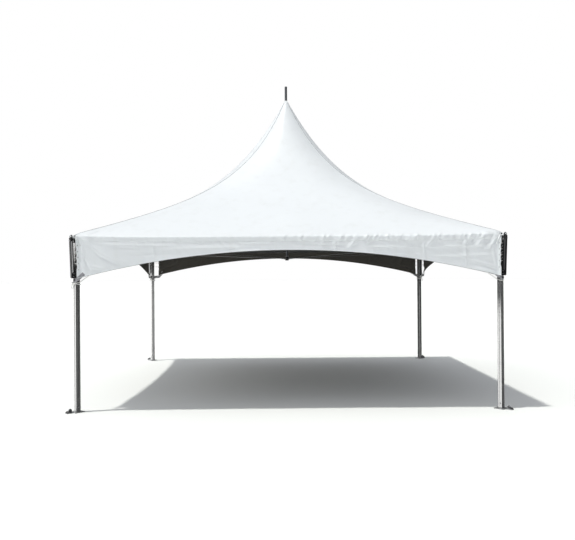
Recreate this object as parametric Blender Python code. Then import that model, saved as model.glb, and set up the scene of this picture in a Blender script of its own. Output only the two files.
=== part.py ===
# High-peak marquee tent: a square frame on four legs, with a centre mast standing on
# crossed cables and a drawn-up fabric roof.
# Frame: metres, +Z up. The origin is on the floor under the mast. The front faces -Y.

import math

import bmesh
import bpy
from mathutils import Matrix, Vector

# Driving dimensions

GAP = 0.0003                # air between pieces that touch in use
OVERLAP = 0.004             # how far united forms run into each other
ROUND_SIDES = 16            # flats on a round bar
WIDE_ROUND_SIDES = 24       # flats on the mast and its rings
SPAN = 6.096                # between leg centres
EAVE_Z = 2.500              # roof fold line at the middle of a side
CORNER_LIFT = 0.035         # the fold line rises this much to the corner
PEAK_Z = 5.165              # top of the fabric
MAST_TOP_Z = 5.445
FABRIC = 0.004              # thickness of the plain fabric solids
ROOF_HALF = 3.1025          # half width of the roof at the fold line
PEAK_RADIUS = 0.030         # fabric cuff round the mast

# Roof curve: how the height falls from the peak to the fold line

SLOPE_SHARE = 0.565         # share of the nearly straight part of the curve
SLOPE_POWER = 0.965
SPIRE_POWER = 3.63          # the steep part near the mast
SQUARING_POWER = 0.923      # how fast the round top turns into a square
SHARPEST_CORNER = 60.0      # superellipse exponent at the fold line
ROOF_ROWS = 14
ROOF_COLUMNS = 8
ROW_CROWDING = 1.35         # above 1, the rows stand closer together near the peak

# Valance

ARCH_TOP_Z = 2.305          # lower edge at the middle of a side
ARCH_DROP = 0.390           # how far the lower edge falls to the corner
VALANCE_TOP_HALF = 3.055    # half length along the fold line
VALANCE_BOTTOM_HALF = 3.035
VALANCE_COLUMNS = 20

# Extruded profile of the legs and beams

PROFILE = 0.070
PROFILE_RADIUS = 0.008
PROFILE_BORE = 0.024
GROOVE_LIP = 0.006          # half widths of the groove at its lip and floor
GROOVE_FLOOR = 0.004
GROOVE_DEPTH = 0.006

# Corner arm, outside the leg

ARM_SIZE = 0.045
ARM_RADIUS = 0.006
ARM_FOOT_OUT = 0.0642       # its axis from the leg's axis, at the bottom
ARM_TOP_OUT = 0.0860
ARM_FOOT_Z = 1.925
ARM_LENGTH = 0.572
EYE_HEIGHT = 0.018          # middle of the eye above the tube's end
EYE_WIDTH = 0.040
EYE_TALL = 0.018
EYE_RIM = 0.013
EYE_THICKNESS = 0.012

# Shoe that holds the arm's foot

SHOE_WALL = 0.004
SHOE_HEIGHT = 0.080
SHOE_FLOOR = 0.006
SHOE_DEPTH = 0.036

# Foot

PLATE_SIZE = 0.160
PLATE_THICKNESS = 0.010
PLATE_RADIUS = 0.012
TONGUE_WIDTH = 0.060
TONGUE_END = 0.160          # middle of the tongue's round end, from the leg's axis
STAKE_HOLE_RADIUS = 0.010
STAKE_HOLE_OUT = 0.058
SPIGOT_RADIUS = 0.0225
FOOT_SPIGOT = 0.110
LUG_OUT = 0.115
LUG_HALF = 0.026
LUG_THICKNESS = 0.010
LUG_HOLE_Z = 0.038
LUG_HOLE_RADIUS = 0.009

# Bow shackle

SHACKLE_ROD = 0.006         # radius of the bow
SHACKLE_PIN = 0.007
SHACKLE_HALF = 0.022
SHACKLE_REACH = 0.045       # straight part, from the pin to the bend
SHACKLE_EYE = 0.011
SHACKLE_EYE_WIDTH = 0.012
SHACKLE_PIN_END = 0.004     # the pin stands out of its eyes by this much

# Corner bracket

BRACKET_PLATE = 0.072
BRACKET_PLATE_THICKNESS = 0.012
BRACKET_PLATE_RADIUS = 0.006
BRACKET_BLOCK_RADIUS = 0.004
BEAM_SPIGOT = 0.120
BOSS_RADIUS = 0.012
CABLE_LUG_END = 0.085       # outer end of the lug from the leg's axis
CABLE_LUG_HEIGHT = 0.030
CABLE_LUG_THICKNESS = 0.012

# Mast, hub and cables

MAST_RADIUS = 0.0225
MAST_CAP_RADIUS = 0.010     # rounding of the mast's tip
HUB_BOTTOM_Z = 2.205
HUB_FLOOR = 0.006
HUB_HEIGHT = 0.070
HUB_RADIUS = 0.032
HUB_LUG_END = 0.070
HUB_CABLE_Z = 2.240
CABLE_RADIUS = 0.005
SLEEVE_RADIUS = 0.009
SLEEVE_LENGTH = 0.090
CROWN_Z = 5.060
CROWN_HEIGHT = 0.020

# Rope from the valance hems round the leg

ROPE_RADIUS = 0.0065
ROPE_START = 0.936          # share of the valance's half length, where it leaves the hem
ROPE_LEG_Z = 1.850
ROPE_BEND = 0.012           # how much higher it meets the leg's side than its outer face
ROPE_CLEARANCE = 0.0005

HALF_SPAN = SPAN / 2
DIAGONAL = HALF_SPAN * math.sqrt(2)     # from the mast to a leg
LEG_BOTTOM_Z = PLATE_THICKNESS + GAP

CORNERS = {"front_left": 225, "front_right": 315, "back_right": 45, "back_left": 135}
SIDES = {"front": 270, "right": 0, "back": 90, "left": 180}

# Name, base colour, roughness and metallic value of each finish
FINISHES = {
    "aluminium": ((0.62, 0.63, 0.63), 0.38, 1.0),
    "galvanised": ((0.50, 0.51, 0.52), 0.50, 1.0),
    "dark_steel": ((0.10, 0.10, 0.11), 0.45, 0.9),
    "wire_rope": ((0.42, 0.42, 0.43), 0.45, 1.0),
    "fabric": ((0.90, 0.92, 0.92), 0.42, 0.0),
    "rope": ((0.80, 0.79, 0.75), 0.85, 0.0),
}


# Scene and material helpers

def clear_scene():
    for scene_object in list(bpy.data.objects):
        bpy.data.objects.remove(scene_object, do_unlink=True)


def finish(name):
    material = bpy.data.materials.get(name)
    if material is None:
        colour, roughness, metallic = FINISHES[name]
        material = bpy.data.materials.new(name)
        material.use_nodes = True
        shader = material.node_tree.nodes["Principled BSDF"]
        shader.inputs["Base Color"].default_value = (*colour, 1.0)
        shader.inputs["Roughness"].default_value = roughness
        shader.inputs["Metallic"].default_value = metallic
    return material


def place(name, mesh, finish_name, location=(0, 0, 0), turn=0.0):
    """An object in the scene, turned about Z by a number of degrees."""
    if not mesh.materials:
        mesh.materials.append(finish(finish_name))
    placed = bpy.data.objects.new(name, mesh)
    bpy.context.scene.collection.objects.link(placed)
    placed.location = location
    placed.rotation_euler.z = math.radians(turn)
    return placed


def place_at_corners(name, mesh, finish_name):
    """The mesh has the leg's axis at its origin, and the outward diagonal along +X."""
    for corner, angle in CORNERS.items():
        x = DIAGONAL * math.cos(math.radians(angle))
        y = DIAGONAL * math.sin(math.radians(angle))
        place(f"{name}_{corner}", mesh, finish_name, (x, y, 0), angle)


def place_at_sides(name, mesh, finish_name, outward=0.0):
    """The mesh is the right side's, in the tent's own frame."""
    for side, angle in SIDES.items():
        x = outward * math.cos(math.radians(angle))
        y = outward * math.sin(math.radians(angle))
        place(f"{name}_{side}", mesh, finish_name, (x, y, 0), angle)


# Mesh helpers

def to_mesh(name, bm, smooth_angle=None):
    bmesh.ops.recalc_face_normals(bm, faces=bm.faces)
    mesh = bpy.data.meshes.new(name)
    bm.to_mesh(mesh)
    bm.free()
    if smooth_angle is not None:
        mesh.shade_smooth()
        mesh.set_sharp_from_angle(angle=math.radians(smooth_angle))
    return mesh


def prism(outline, low, high):
    """A closed body: an outline in X and Y, extruded from low to high in Z."""
    bm = bmesh.new()
    face = bm.faces.new([bm.verts.new((x, y, low)) for x, y in outline])
    result = bmesh.ops.extrude_face_region(bm, geom=[face])
    moved = [v for v in result["geom"] if isinstance(v, bmesh.types.BMVert)]
    bmesh.ops.translate(bm, verts=moved, vec=(0, 0, high - low))
    return bm


def box(low, high):
    outline = [(low[0], low[1]), (high[0], low[1]), (high[0], high[1]), (low[0], high[1])]
    return prism(outline, low[2], high[2])


def arc(centre, radius, start, end, steps):
    """Points on an arc, from one angle to another, in degrees."""
    points = []
    for i in range(steps + 1):
        angle = math.radians(start + (end - start) * i / steps)
        points.append((centre[0] + radius * math.cos(angle), centre[1] + radius * math.sin(angle)))
    return points


def rounded_square(half, radius, steps=4):
    inner = half - radius
    points = []
    for turn, (sx, sy) in zip((0, 90, 180, 270), ((1, 1), (-1, 1), (-1, -1), (1, -1))):
        points += arc((sx * inner, sy * inner), radius, turn, turn + 90, steps)
    return points


def grooved_square(half, radius, lip, floor, depth):
    """A square with round corners and a groove along the middle of each face."""
    points = []
    for quarter in range(4):
        turn = Matrix.Rotation(math.radians(90 * quarter), 2)
        corner = arc((half - radius, half - radius), radius, 0, 90, 3)
        groove = [(lip, half), (floor, half - depth), (-floor, half - depth), (-lip, half)]
        points += [tuple(turn @ Vector(point)) for point in corner + groove]
    return points


def tube_along_z(outline, bore, low, high):
    """The outline extruded along Z, with a round bore right through."""
    bm = bmesh.new()
    loops = []
    for z in (low, high):
        outer = [bm.verts.new((x, y, z)) for x, y in outline]
        inner = []
        for x, y in outline:
            scale = bore / math.hypot(x, y)
            inner.append(bm.verts.new((x * scale, y * scale, z)))
        loops.append((outer, inner))
    (low_outer, low_inner), (high_outer, high_inner) = loops
    count = len(outline)
    for i in range(count):
        j = (i + 1) % count
        bm.faces.new((low_outer[i], low_outer[j], high_outer[j], high_outer[i]))
        bm.faces.new((low_inner[j], low_inner[i], high_inner[i], high_inner[j]))
        bm.faces.new((high_outer[i], high_outer[j], high_inner[j], high_inner[i]))
        bm.faces.new((low_outer[j], low_outer[i], low_inner[i], low_inner[j]))
    return bm


def rod(start, end, radius, sides=ROUND_SIDES):
    """A closed round bar between two points."""
    start, end = Vector(start), Vector(end)
    bm = bmesh.new()
    along = end - start
    bmesh.ops.create_cone(
        bm, cap_ends=True, segments=sides, radius1=radius, radius2=radius, depth=along.length
    )
    turn = along.to_track_quat("Z", "Y").to_matrix().to_4x4()
    bmesh.ops.transform(bm, matrix=Matrix.Translation((start + end) / 2) @ turn, verts=bm.verts)
    return bm


def swept_rod(path, radius, sides):
    """A closed round bar that follows the points of a path, with a ring at each point."""
    bm = bmesh.new()
    points = [Vector(point) for point in path]
    rings = []
    across = None
    for i, point in enumerate(points):
        before = points[max(i - 1, 0)]
        after = points[min(i + 1, len(points) - 1)]
        tangent = (after - before).normalized()
        if across is None:
            across = tangent.orthogonal().normalized()
        across = (across - tangent * across.dot(tangent)).normalized()
        other = tangent.cross(across)
        ring = []
        for j in range(sides):
            angle = 2 * math.pi * j / sides
            offset = across * math.cos(angle) + other * math.sin(angle)
            ring.append(bm.verts.new(point + offset * radius))
        rings.append(ring)
    for ring, following in zip(rings, rings[1:]):
        for j in range(sides):
            k = (j + 1) % sides
            bm.faces.new((ring[j], ring[k], following[k], following[j]))
    bm.faces.new(reversed(rings[0]))
    bm.faces.new(rings[-1])
    return bm


def sheet_solid(outer, inner):
    """A closed thin solid between two grids of points, given as rows of equal length."""
    bm = bmesh.new()
    grids = []
    for rows in (outer, inner):
        grids.append([[bm.verts.new(point) for point in row] for row in rows])
    top, bottom = grids
    last_row, last_column = len(top) - 1, len(top[0]) - 1
    for i in range(last_row):
        for j in range(last_column):
            bm.faces.new((top[i][j], top[i][j + 1], top[i + 1][j + 1], top[i + 1][j]))
            bm.faces.new((bottom[i][j], bottom[i + 1][j], bottom[i + 1][j + 1], bottom[i][j + 1]))
    for i in (0, last_row):
        for j in range(last_column):
            bm.faces.new((top[i][j], top[i][j + 1], bottom[i][j + 1], bottom[i][j]))
    for j in (0, last_column):
        for i in range(last_row):
            bm.faces.new((top[i][j], top[i + 1][j], bottom[i + 1][j], bottom[i][j]))
    return bm


def joined(name, base, added=(), removed=(), smooth_angle=35):
    """One closed body: the base with other bodies united to it and cut from it."""
    target = place(name + "_shape", to_mesh(name + "_shape", base), "aluminium")
    operands = []
    for operation, bodies in (("UNION", added), ("DIFFERENCE", removed)):
        for body in bodies:
            operand = place(name + "_operand", to_mesh(name + "_operand", body), "aluminium")
            operand.hide_render = True
            operand.display_type = "WIRE"
            step = target.modifiers.new(operation.title(), "BOOLEAN")
            step.operation = operation
            step.solver = "EXACT"
            step.object = operand
            operands.append(operand)
    depsgraph = bpy.context.evaluated_depsgraph_get()
    mesh = bpy.data.meshes.new_from_object(target.evaluated_get(depsgraph))
    mesh.name = name
    mesh.materials.clear()
    for used in operands + [target]:
        bpy.data.objects.remove(used, do_unlink=True)
    mesh.shade_smooth()
    mesh.set_sharp_from_angle(angle=math.radians(smooth_angle))
    return mesh


# Roof surface

def fall(t):
    """Height share of the roof curve, from 1 at the peak (t = 0) to 0 at the fold (t = 1)."""
    left = 1.0 - t
    steep = (1.0 - SLOPE_SHARE) * left ** SPIRE_POWER
    return SLOPE_SHARE * left ** SLOPE_POWER + steep


def eave_height(along):
    """Height of the fold line, where along runs from -1 to 1 between the corners."""
    return EAVE_Z + CORNER_LIFT * abs(along) ** 6


def contour(half_width, t, along):
    """A point of the roof's level contour on the right side: round at the top, square below."""
    exponent = min(2.0 / max(1.0 - t, 1e-6) ** SQUARING_POWER, SHARPEST_CORNER)
    scale = half_width / (1.0 + abs(along) ** exponent) ** (1.0 / exponent)
    return scale, scale * along


def roof_point(t, along, depth=0.0):
    """A point of the right side's roof, at a depth under the outer surface."""
    step = 1e-4
    low, high = max(t - step, 0.0), min(t + step, 1.0)
    rise = (fall(low) - fall(high)) * (PEAK_Z - eave_height(along))
    run = (high - low) * (ROOF_HALF - PEAK_RADIUS)
    length = math.hypot(rise, run)
    half_width = PEAK_RADIUS + (ROOF_HALF - PEAK_RADIUS) * t - depth * rise / length
    z = eave_height(along) + fall(t) * (PEAK_Z - eave_height(along)) - depth * run / length
    x, y = contour(half_width, t, along)
    return Vector((x, y, z))


def roof_inner_height(distance):
    """Height of the roof's underside over the middle of a side, at a distance from the mast."""
    low, high = 0.0, 1.0
    for _ in range(60):
        middle = (low + high) / 2
        if roof_point(middle, 0.0, FABRIC).x < distance:
            low = middle
        else:
            high = middle
    return roof_point(low, 0.0, FABRIC).z


def roof_inner_radius(height):
    """Distance of the roof's underside from the mast at a height, near the peak."""
    low, high = 0.0, 1.0
    for _ in range(60):
        middle = (low + high) / 2
        if roof_point(middle, 0.0, FABRIC).z > height:
            low = middle
        else:
            high = middle
    return roof_point(low, 0.0, FABRIC).x


BEAM_TOP_Z = roof_inner_height(HALF_SPAN + PROFILE / 2) - GAP
BEAM_BOTTOM_Z = BEAM_TOP_Z - PROFILE
BEAM_Z = BEAM_TOP_Z - PROFILE / 2
LEG_TOP_Z = BEAM_BOTTOM_Z - BRACKET_PLATE_THICKNESS - GAP


# Frame

def build_legs():
    outline = grooved_square(PROFILE / 2, PROFILE_RADIUS, GROOVE_LIP, GROOVE_FLOOR, GROOVE_DEPTH)
    bm = tube_along_z(outline, PROFILE_BORE, LEG_BOTTOM_Z, LEG_TOP_Z)
    place_at_corners("leg", to_mesh("leg", bm, 35), "aluminium")


def build_beams():
    half = HALF_SPAN - PROFILE / 2 - GAP
    outline = grooved_square(PROFILE / 2, PROFILE_RADIUS, GROOVE_LIP, GROOVE_FLOOR, GROOVE_DEPTH)
    bm = tube_along_z(outline, PROFILE_BORE, -half, half)
    lie_down = Matrix.Rotation(math.radians(90), 4, "X")
    bmesh.ops.transform(
        bm, matrix=Matrix.Translation((HALF_SPAN, 0, BEAM_Z)) @ lie_down, verts=bm.verts
    )
    place_at_sides("eave_beam", to_mesh("eave_beam", bm, 35), "aluminium")


def build_base_plates():
    half = PLATE_SIZE / 2
    tongue = TONGUE_WIDTH / 2
    outline = arc((TONGUE_END, 0), tongue, -90, 90, 8) + [(half, tongue)]
    inner = half - PLATE_RADIUS
    for turn, (sx, sy) in zip((0, 90, 180, 270), ((1, 1), (-1, 1), (-1, -1), (1, -1))):
        outline += arc((sx * inner, sy * inner), PLATE_RADIUS, turn, turn + 90, 2)
    outline.append((half, -tongue))
    plate = prism(outline, 0, PLATE_THICKNESS)
    sunk = PLATE_THICKNESS / 2
    top = LUG_HOLE_Z + LUG_HALF
    upright = [(LUG_OUT - LUG_HALF, sunk), (LUG_OUT + LUG_HALF, sunk)]
    upright += arc((LUG_OUT, LUG_HOLE_Z), top - LUG_HOLE_Z, 0, 180, 10)
    lug = prism(upright, -LUG_THICKNESS / 2, LUG_THICKNESS / 2)
    bmesh.ops.transform(lug, matrix=Matrix.Rotation(math.radians(90), 4, "X"), verts=lug.verts)
    spigot = rod((0, 0, sunk), (0, 0, PLATE_THICKNESS + FOOT_SPIGOT), SPIGOT_RADIUS)
    cuts = [
        rod((LUG_OUT, -LUG_THICKNESS, LUG_HOLE_Z), (LUG_OUT, LUG_THICKNESS, LUG_HOLE_Z), LUG_HOLE_RADIUS)
    ]
    for side in (-1, 1):
        y = side * STAKE_HOLE_OUT
        cuts.append(rod((0, y, -sunk), (0, y, PLATE_THICKNESS + sunk), STAKE_HOLE_RADIUS))
    mesh = joined("base_plate", plate, [lug, spigot], cuts)
    place_at_corners("base_plate", mesh, "galvanised")


def build_shackles():
    """A bow shackle whose pin hangs in the lug's hole and whose bow lies on the tongue."""
    facet = math.cos(math.pi / ROUND_SIDES)
    pin_z = LUG_HOLE_Z - (LUG_HOLE_RADIUS * facet - SHACKLE_PIN - GAP)
    reach = SHACKLE_REACH + SHACKLE_HALF
    drop = pin_z - (PLATE_THICKNESS + SHACKLE_ROD + GAP)
    angle = math.asin(drop / reach)
    path = [(0, -SHACKLE_HALF, 0)]
    for x, y in arc((SHACKLE_REACH, 0), SHACKLE_HALF, -90, 90, 10):
        path.append((x, y, 0))
    path.append((0, SHACKLE_HALF, 0))
    half_pin = SHACKLE_HALF + SHACKLE_EYE_WIDTH / 2 + SHACKLE_PIN_END
    bow = swept_rod(path, SHACKLE_ROD, 8)
    added = [rod((0, -half_pin, 0), (0, half_pin, 0), SHACKLE_PIN)]
    for side in (-1, 1):
        near = side * (SHACKLE_HALF - SHACKLE_EYE_WIDTH / 2)
        far = side * (SHACKLE_HALF + SHACKLE_EYE_WIDTH / 2)
        added.append(rod((0, near, 0), (0, far, 0), SHACKLE_EYE))
    mesh = joined("anchor_shackle", bow, added)
    tilt = Matrix.Rotation(angle, 4, "Y")
    mesh.transform(Matrix.Translation((LUG_OUT, 0, pin_z)) @ tilt)
    place_at_corners("anchor_shackle", mesh, "dark_steel")


def arm_frame():
    """Local frame of the corner arm: +Z along it, from the middle of its foot."""
    lean = math.asin((ARM_TOP_OUT - ARM_FOOT_OUT) / ARM_LENGTH)
    lift = ARM_SIZE / 2 * math.sin(lean) + GAP
    foot = Matrix.Translation((ARM_FOOT_OUT, 0, ARM_FOOT_Z + lift))
    return foot @ Matrix.Rotation(lean, 4, "Y")


def eye_outline(radius):
    """A lying oval about the middle of the arm's eye, with round ends of a radius."""
    middle = ARM_LENGTH + EYE_HEIGHT
    straight = (EYE_WIDTH - EYE_TALL) / 2
    right = arc((straight, middle), radius, -90, 90, 8)
    left = arc((-straight, middle), radius, 90, 270, 8)
    return right + left


def build_corner_arms():
    groove = GROOVE_DEPTH / 2
    outline = grooved_square(ARM_SIZE / 2, ARM_RADIUS, GROOVE_LIP, GROOVE_FLOOR, groove)
    body = prism(outline, 0, ARM_LENGTH)
    eye = prism(eye_outline(EYE_TALL / 2 + EYE_RIM), -EYE_THICKNESS / 2, EYE_THICKNESS / 2)
    slot = prism(eye_outline(EYE_TALL / 2), -EYE_THICKNESS, EYE_THICKNESS)
    stand_up = Matrix.Rotation(math.radians(90), 4, "Z") @ Matrix.Rotation(math.radians(90), 4, "X")
    for flat in (eye, slot):
        bmesh.ops.transform(flat, matrix=stand_up, verts=flat.verts)
    mesh = joined("corner_arm", body, [eye], [slot])
    mesh.transform(arm_frame())
    place_at_corners("corner_arm", mesh, "aluminium")


def build_arm_shoes():
    back = PROFILE / 2 + GAP
    inner_face = ARM_FOOT_OUT - ARM_SIZE / 2 - GAP
    half = ARM_SIZE / 2 + GAP
    outer = half + SHOE_WALL
    end = back + SHOE_DEPTH + SHOE_WALL
    outline = [
        (back, -outer), (end, -outer), (end, -half), (inner_face, -half),
        (inner_face, half), (end, half), (end, outer), (back, outer),
    ]
    channel = prism(outline, ARM_FOOT_Z - SHOE_FLOOR, ARM_FOOT_Z + SHOE_HEIGHT)
    floor = box((back, -outer, ARM_FOOT_Z - SHOE_FLOOR), (end, outer, ARM_FOOT_Z))
    place_at_corners("arm_shoe", joined("arm_shoe", channel, [floor]), "dark_steel")


def build_corner_brackets():
    half = PROFILE / 2
    outline = rounded_square(half, BRACKET_BLOCK_RADIUS, 2)
    block = prism(outline, BEAM_BOTTOM_Z - OVERLAP, BEAM_TOP_Z)
    bmesh.ops.rotate(block, matrix=Matrix.Rotation(math.radians(45), 3, "Z"), verts=block.verts)
    plate_low = BEAM_BOTTOM_Z - BRACKET_PLATE_THICKNESS
    plate_outline = rounded_square(BRACKET_PLATE / 2, BRACKET_PLATE_RADIUS, 2)
    plate = prism(plate_outline, plate_low, BEAM_BOTTOM_Z - GAP)
    leg_spigot = rod((0, 0, plate_low + OVERLAP), (0, 0, plate_low - FOOT_SPIGOT), SPIGOT_RADIUS)
    arm_axis = arm_frame() @ Vector((0, 0, BEAM_Z - ARM_FOOT_Z))
    boss_end = arm_axis.x - ARM_SIZE / 2 - 2 * GAP
    boss = rod((0, 0, BEAM_Z), (boss_end, 0, BEAM_Z), BOSS_RADIUS)
    lug_half = CABLE_LUG_THICKNESS / 2
    lug_top = BEAM_BOTTOM_Z - GAP
    lug_start = half + 2 * GAP
    lug = box(
        (-CABLE_LUG_END, -lug_half, lug_top - CABLE_LUG_HEIGHT),
        (-lug_start, lug_half, lug_top),
    )
    neck = box((-half - OVERLAP, -lug_half, plate_low), (0, lug_half, lug_top))
    added = [plate, leg_spigot, boss, lug, neck]
    for angle in (135, 225):
        reach = half + BEAM_SPIGOT
        x = reach * math.cos(math.radians(angle))
        y = reach * math.sin(math.radians(angle))
        added.append(rod((0, 0, BEAM_Z), (x, y, BEAM_Z), SPIGOT_RADIUS))
    place_at_corners("corner_bracket", joined("corner_bracket", block, added), "dark_steel")


# Mast, hub and cables

def build_hub():
    hub_top = HUB_BOTTOM_Z + HUB_HEIGHT
    body = rod((0, 0, HUB_BOTTOM_Z), (0, 0, hub_top), HUB_RADIUS, WIDE_ROUND_SIDES)
    lugs = []
    half = CABLE_LUG_THICKNESS / 2
    for angle in (45, 135):
        low = HUB_CABLE_Z - CABLE_LUG_HEIGHT / 2
        high = HUB_CABLE_Z + CABLE_LUG_HEIGHT / 2
        lug = box((-HUB_LUG_END, -half, low), (HUB_LUG_END, half, high))
        turn = Matrix.Rotation(math.radians(angle), 3, "Z")
        bmesh.ops.rotate(lug, matrix=turn, verts=lug.verts)
        lugs.append(lug)
    bore_low = HUB_BOTTOM_Z + HUB_FLOOR
    bore_high = hub_top + OVERLAP
    bore = rod((0, 0, bore_low), (0, 0, bore_high), MAST_RADIUS + 3 * GAP, WIDE_ROUND_SIDES)
    place("mast_hub", joined("mast_hub", body, lugs, [bore]), "dark_steel")


def build_mast():
    bottom = HUB_BOTTOM_Z + HUB_FLOOR + GAP
    bm = rod((0, 0, bottom), (0, 0, MAST_TOP_Z), MAST_RADIUS, WIDE_ROUND_SIDES)
    rim = [edge for edge in bm.edges if all(v.co.z > MAST_TOP_Z - 1e-4 for v in edge.verts)]
    bmesh.ops.bevel(bm, geom=rim, offset=MAST_CAP_RADIUS, segments=3, affect="EDGES", profile=0.5)
    place("centre_mast", to_mesh("centre_mast", bm, 35), "aluminium")


def build_crown():
    """The ring on the mast that carries the fabric's peak."""
    radius = roof_inner_radius(CROWN_Z + CROWN_HEIGHT) - 2 * GAP
    last = 360 * (1 - 1 / WIDE_ROUND_SIDES)
    outline = arc((0, 0), radius, 0, last, WIDE_ROUND_SIDES - 1)
    bm = tube_along_z(outline, MAST_RADIUS + 2 * GAP, CROWN_Z, CROWN_Z + CROWN_HEIGHT)
    place("crown_ring", to_mesh("crown_ring", bm, 35), "dark_steel")


def build_cables():
    """The right-back cable, from the hub's lug to the corner bracket's lug, and its copies."""
    start = Vector((HUB_LUG_END + GAP, 0, HUB_CABLE_Z))
    corner_z = BEAM_BOTTOM_Z - GAP - CABLE_LUG_HEIGHT / 2
    end = Vector((DIAGONAL - CABLE_LUG_END - GAP, 0, corner_z))
    along = (end - start).normalized()
    tilt = SLEEVE_RADIUS * along.z
    start.x += tilt
    end.x -= tilt
    cable = rod(start, end, CABLE_RADIUS, 8)
    sleeves = [
        rod(start, start + along * SLEEVE_LENGTH, SLEEVE_RADIUS, 12),
        rod(end - along * SLEEVE_LENGTH, end, SLEEVE_RADIUS, 12),
    ]
    mesh = joined("cross_cable", cable, sleeves)
    for corner, angle in CORNERS.items():
        place(f"cross_cable_{corner}", mesh, "wire_rope", (0, 0, 0), angle)


# Fabric

def build_roof():
    places = [-1 + 2 * j / ROOF_COLUMNS for j in range(ROOF_COLUMNS + 1)]
    outer, inner = [], []
    for i in range(ROOF_ROWS + 1):
        t = (i / ROOF_ROWS) ** ROW_CROWDING
        outer.append([roof_point(t, along) for along in places])
        inner.append([roof_point(t, along, FABRIC) for along in places])
    mesh = to_mesh("roof_panel", sheet_solid(outer, inner), 40)
    place_at_sides("roof_panel", mesh, "fabric", outward=GAP)


def arch_height(distance):
    """Height of the valance's lower edge at a distance from the middle of the side."""
    return ARCH_TOP_Z - ARCH_DROP * (distance / VALANCE_BOTTOM_HALF) ** 2


def build_valances():
    outer, inner = [], []
    for edge in ("top", "bottom"):
        half = VALANCE_TOP_HALF if edge == "top" else VALANCE_BOTTOM_HALF
        front, back = [], []
        for j in range(VALANCE_COLUMNS + 1):
            y = half * (-1 + 2 * j / VALANCE_COLUMNS)
            underside = eave_height(y / ROOF_HALF) - FABRIC
            z = underside - 2 * GAP if edge == "top" else arch_height(y)
            front.append((ROOF_HALF, y, z))
            back.append((ROOF_HALF - FABRIC, y, z))
        outer.append(front)
        inner.append(back)
    place_at_sides("valance", to_mesh("valance", sheet_solid(outer, inner)), "fabric")


def build_hem_ropes():
    """A taut rope from one valance's hem, round the outer side of the leg, to the next hem."""
    clear = ROPE_RADIUS + ROPE_CLEARANCE
    inner = PROFILE / 2 - PROFILE_RADIUS
    sheet_middle = ROOF_HALF - FABRIC / 2
    start = ROPE_START * VALANCE_BOTTOM_HALF
    hem_x = (start + sheet_middle) / math.sqrt(2) - DIAGONAL
    hem_y = (sheet_middle - start) / math.sqrt(2)
    hem_z = arch_height(start) - ROPE_RADIUS - 2 * GAP
    side_point = (-inner, PROFILE / 2 + clear, ROPE_LEG_Z + ROPE_BEND)
    half_path = [(hem_x, hem_y, hem_z), side_point]
    for x, y in reversed(arc((inner, inner), PROFILE_RADIUS + clear, 0, 90, 5)):
        half_path.append((x, y, ROPE_LEG_Z))
    mirrored = [(x, -y, z) for x, y, z in reversed(half_path)]
    mesh = to_mesh("hem_rope", swept_rod(half_path + mirrored, ROPE_RADIUS, 8), 50)
    place_at_corners("hem_rope", mesh, "rope")


clear_scene()
build_legs()
build_beams()
build_base_plates()
build_shackles()
build_corner_arms()
build_arm_shoes()
build_corner_brackets()
build_hub()
build_mast()
build_crown()
build_cables()
build_roof()
build_valances()
build_hem_ropes()
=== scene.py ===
"""Looks of a high-peak marquee tent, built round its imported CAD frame.

Metres, +Z up, origin on the floor under the mast, front facing -Y.
Side pieces are made for the right side (+X) and turned. Corner pieces are made with the
leg's axis at the origin and the outward diagonal along +X, then placed.
"""

import math
import random

import bmesh
import bpy
from mathutils import Matrix, Vector


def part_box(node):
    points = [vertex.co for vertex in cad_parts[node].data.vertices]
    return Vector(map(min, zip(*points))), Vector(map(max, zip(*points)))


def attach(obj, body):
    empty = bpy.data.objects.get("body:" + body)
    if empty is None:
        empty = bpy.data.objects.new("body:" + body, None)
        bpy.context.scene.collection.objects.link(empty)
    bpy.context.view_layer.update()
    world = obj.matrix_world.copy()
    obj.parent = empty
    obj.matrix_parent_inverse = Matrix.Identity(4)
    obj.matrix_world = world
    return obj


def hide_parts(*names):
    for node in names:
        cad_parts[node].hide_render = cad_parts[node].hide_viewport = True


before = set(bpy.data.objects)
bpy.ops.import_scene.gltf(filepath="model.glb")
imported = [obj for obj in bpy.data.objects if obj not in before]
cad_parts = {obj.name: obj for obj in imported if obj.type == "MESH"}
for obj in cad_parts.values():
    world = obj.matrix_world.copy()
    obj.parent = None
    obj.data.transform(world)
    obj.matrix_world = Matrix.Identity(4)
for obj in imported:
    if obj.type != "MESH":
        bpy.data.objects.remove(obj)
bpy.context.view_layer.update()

# Photograph's frame and camera

IMAGE_WIDTH = 575
SENSOR_MM = 36.0
FOCAL_PIXELS = 720.8
CAMERA_PLACE = (-0.1200, -13.420, 1.980)
CAMERA_PITCH = 0.0035
CAMERA_YAW = -0.0095
CAMERA_ROLL = -0.0070

# Light

SUNS = {                        # direction towards it, strength, angle across in degrees
    "sun": ((-0.28, -0.085, 1.0), 1.95, 2.5),
    "fill": ((-1.0, -0.12, 0.62), 0.44, 50.0),
}
SUN_COLOUR = (1.0, 0.995, 0.950)
SKY_COLOUR = (0.93, 0.96, 1.02, 1.0)
SKY_BY_HEIGHT = (0.20, 0.73)    # at the horizon, overhead
SKY_BY_SIDE = (1.52, 0.48)      # on the left, on the right
SOFTBOXES = (                   # centre, width and height, watts
    ((-6.0, -2.85, 0.25), (3.1, 5.5), 118.0),
    ((-6.0, -7.0, -1.50), (5.2, 5.1), 190.0),
    ((-6.0, 4.55, -0.80), (2.8, 5.5), 165.0),
    ((6.0, 1.30, -0.90), (1.4, 5.5), 27.0),
    ((6.0, -4.10, -0.90), (5.6, 5.5), 20.0),
)
SKY_IN_GLOSS = 0.35             # share of the sky that reflections show
FLOOR_RADIUS = 150.0

# Tent, as in its source

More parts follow.
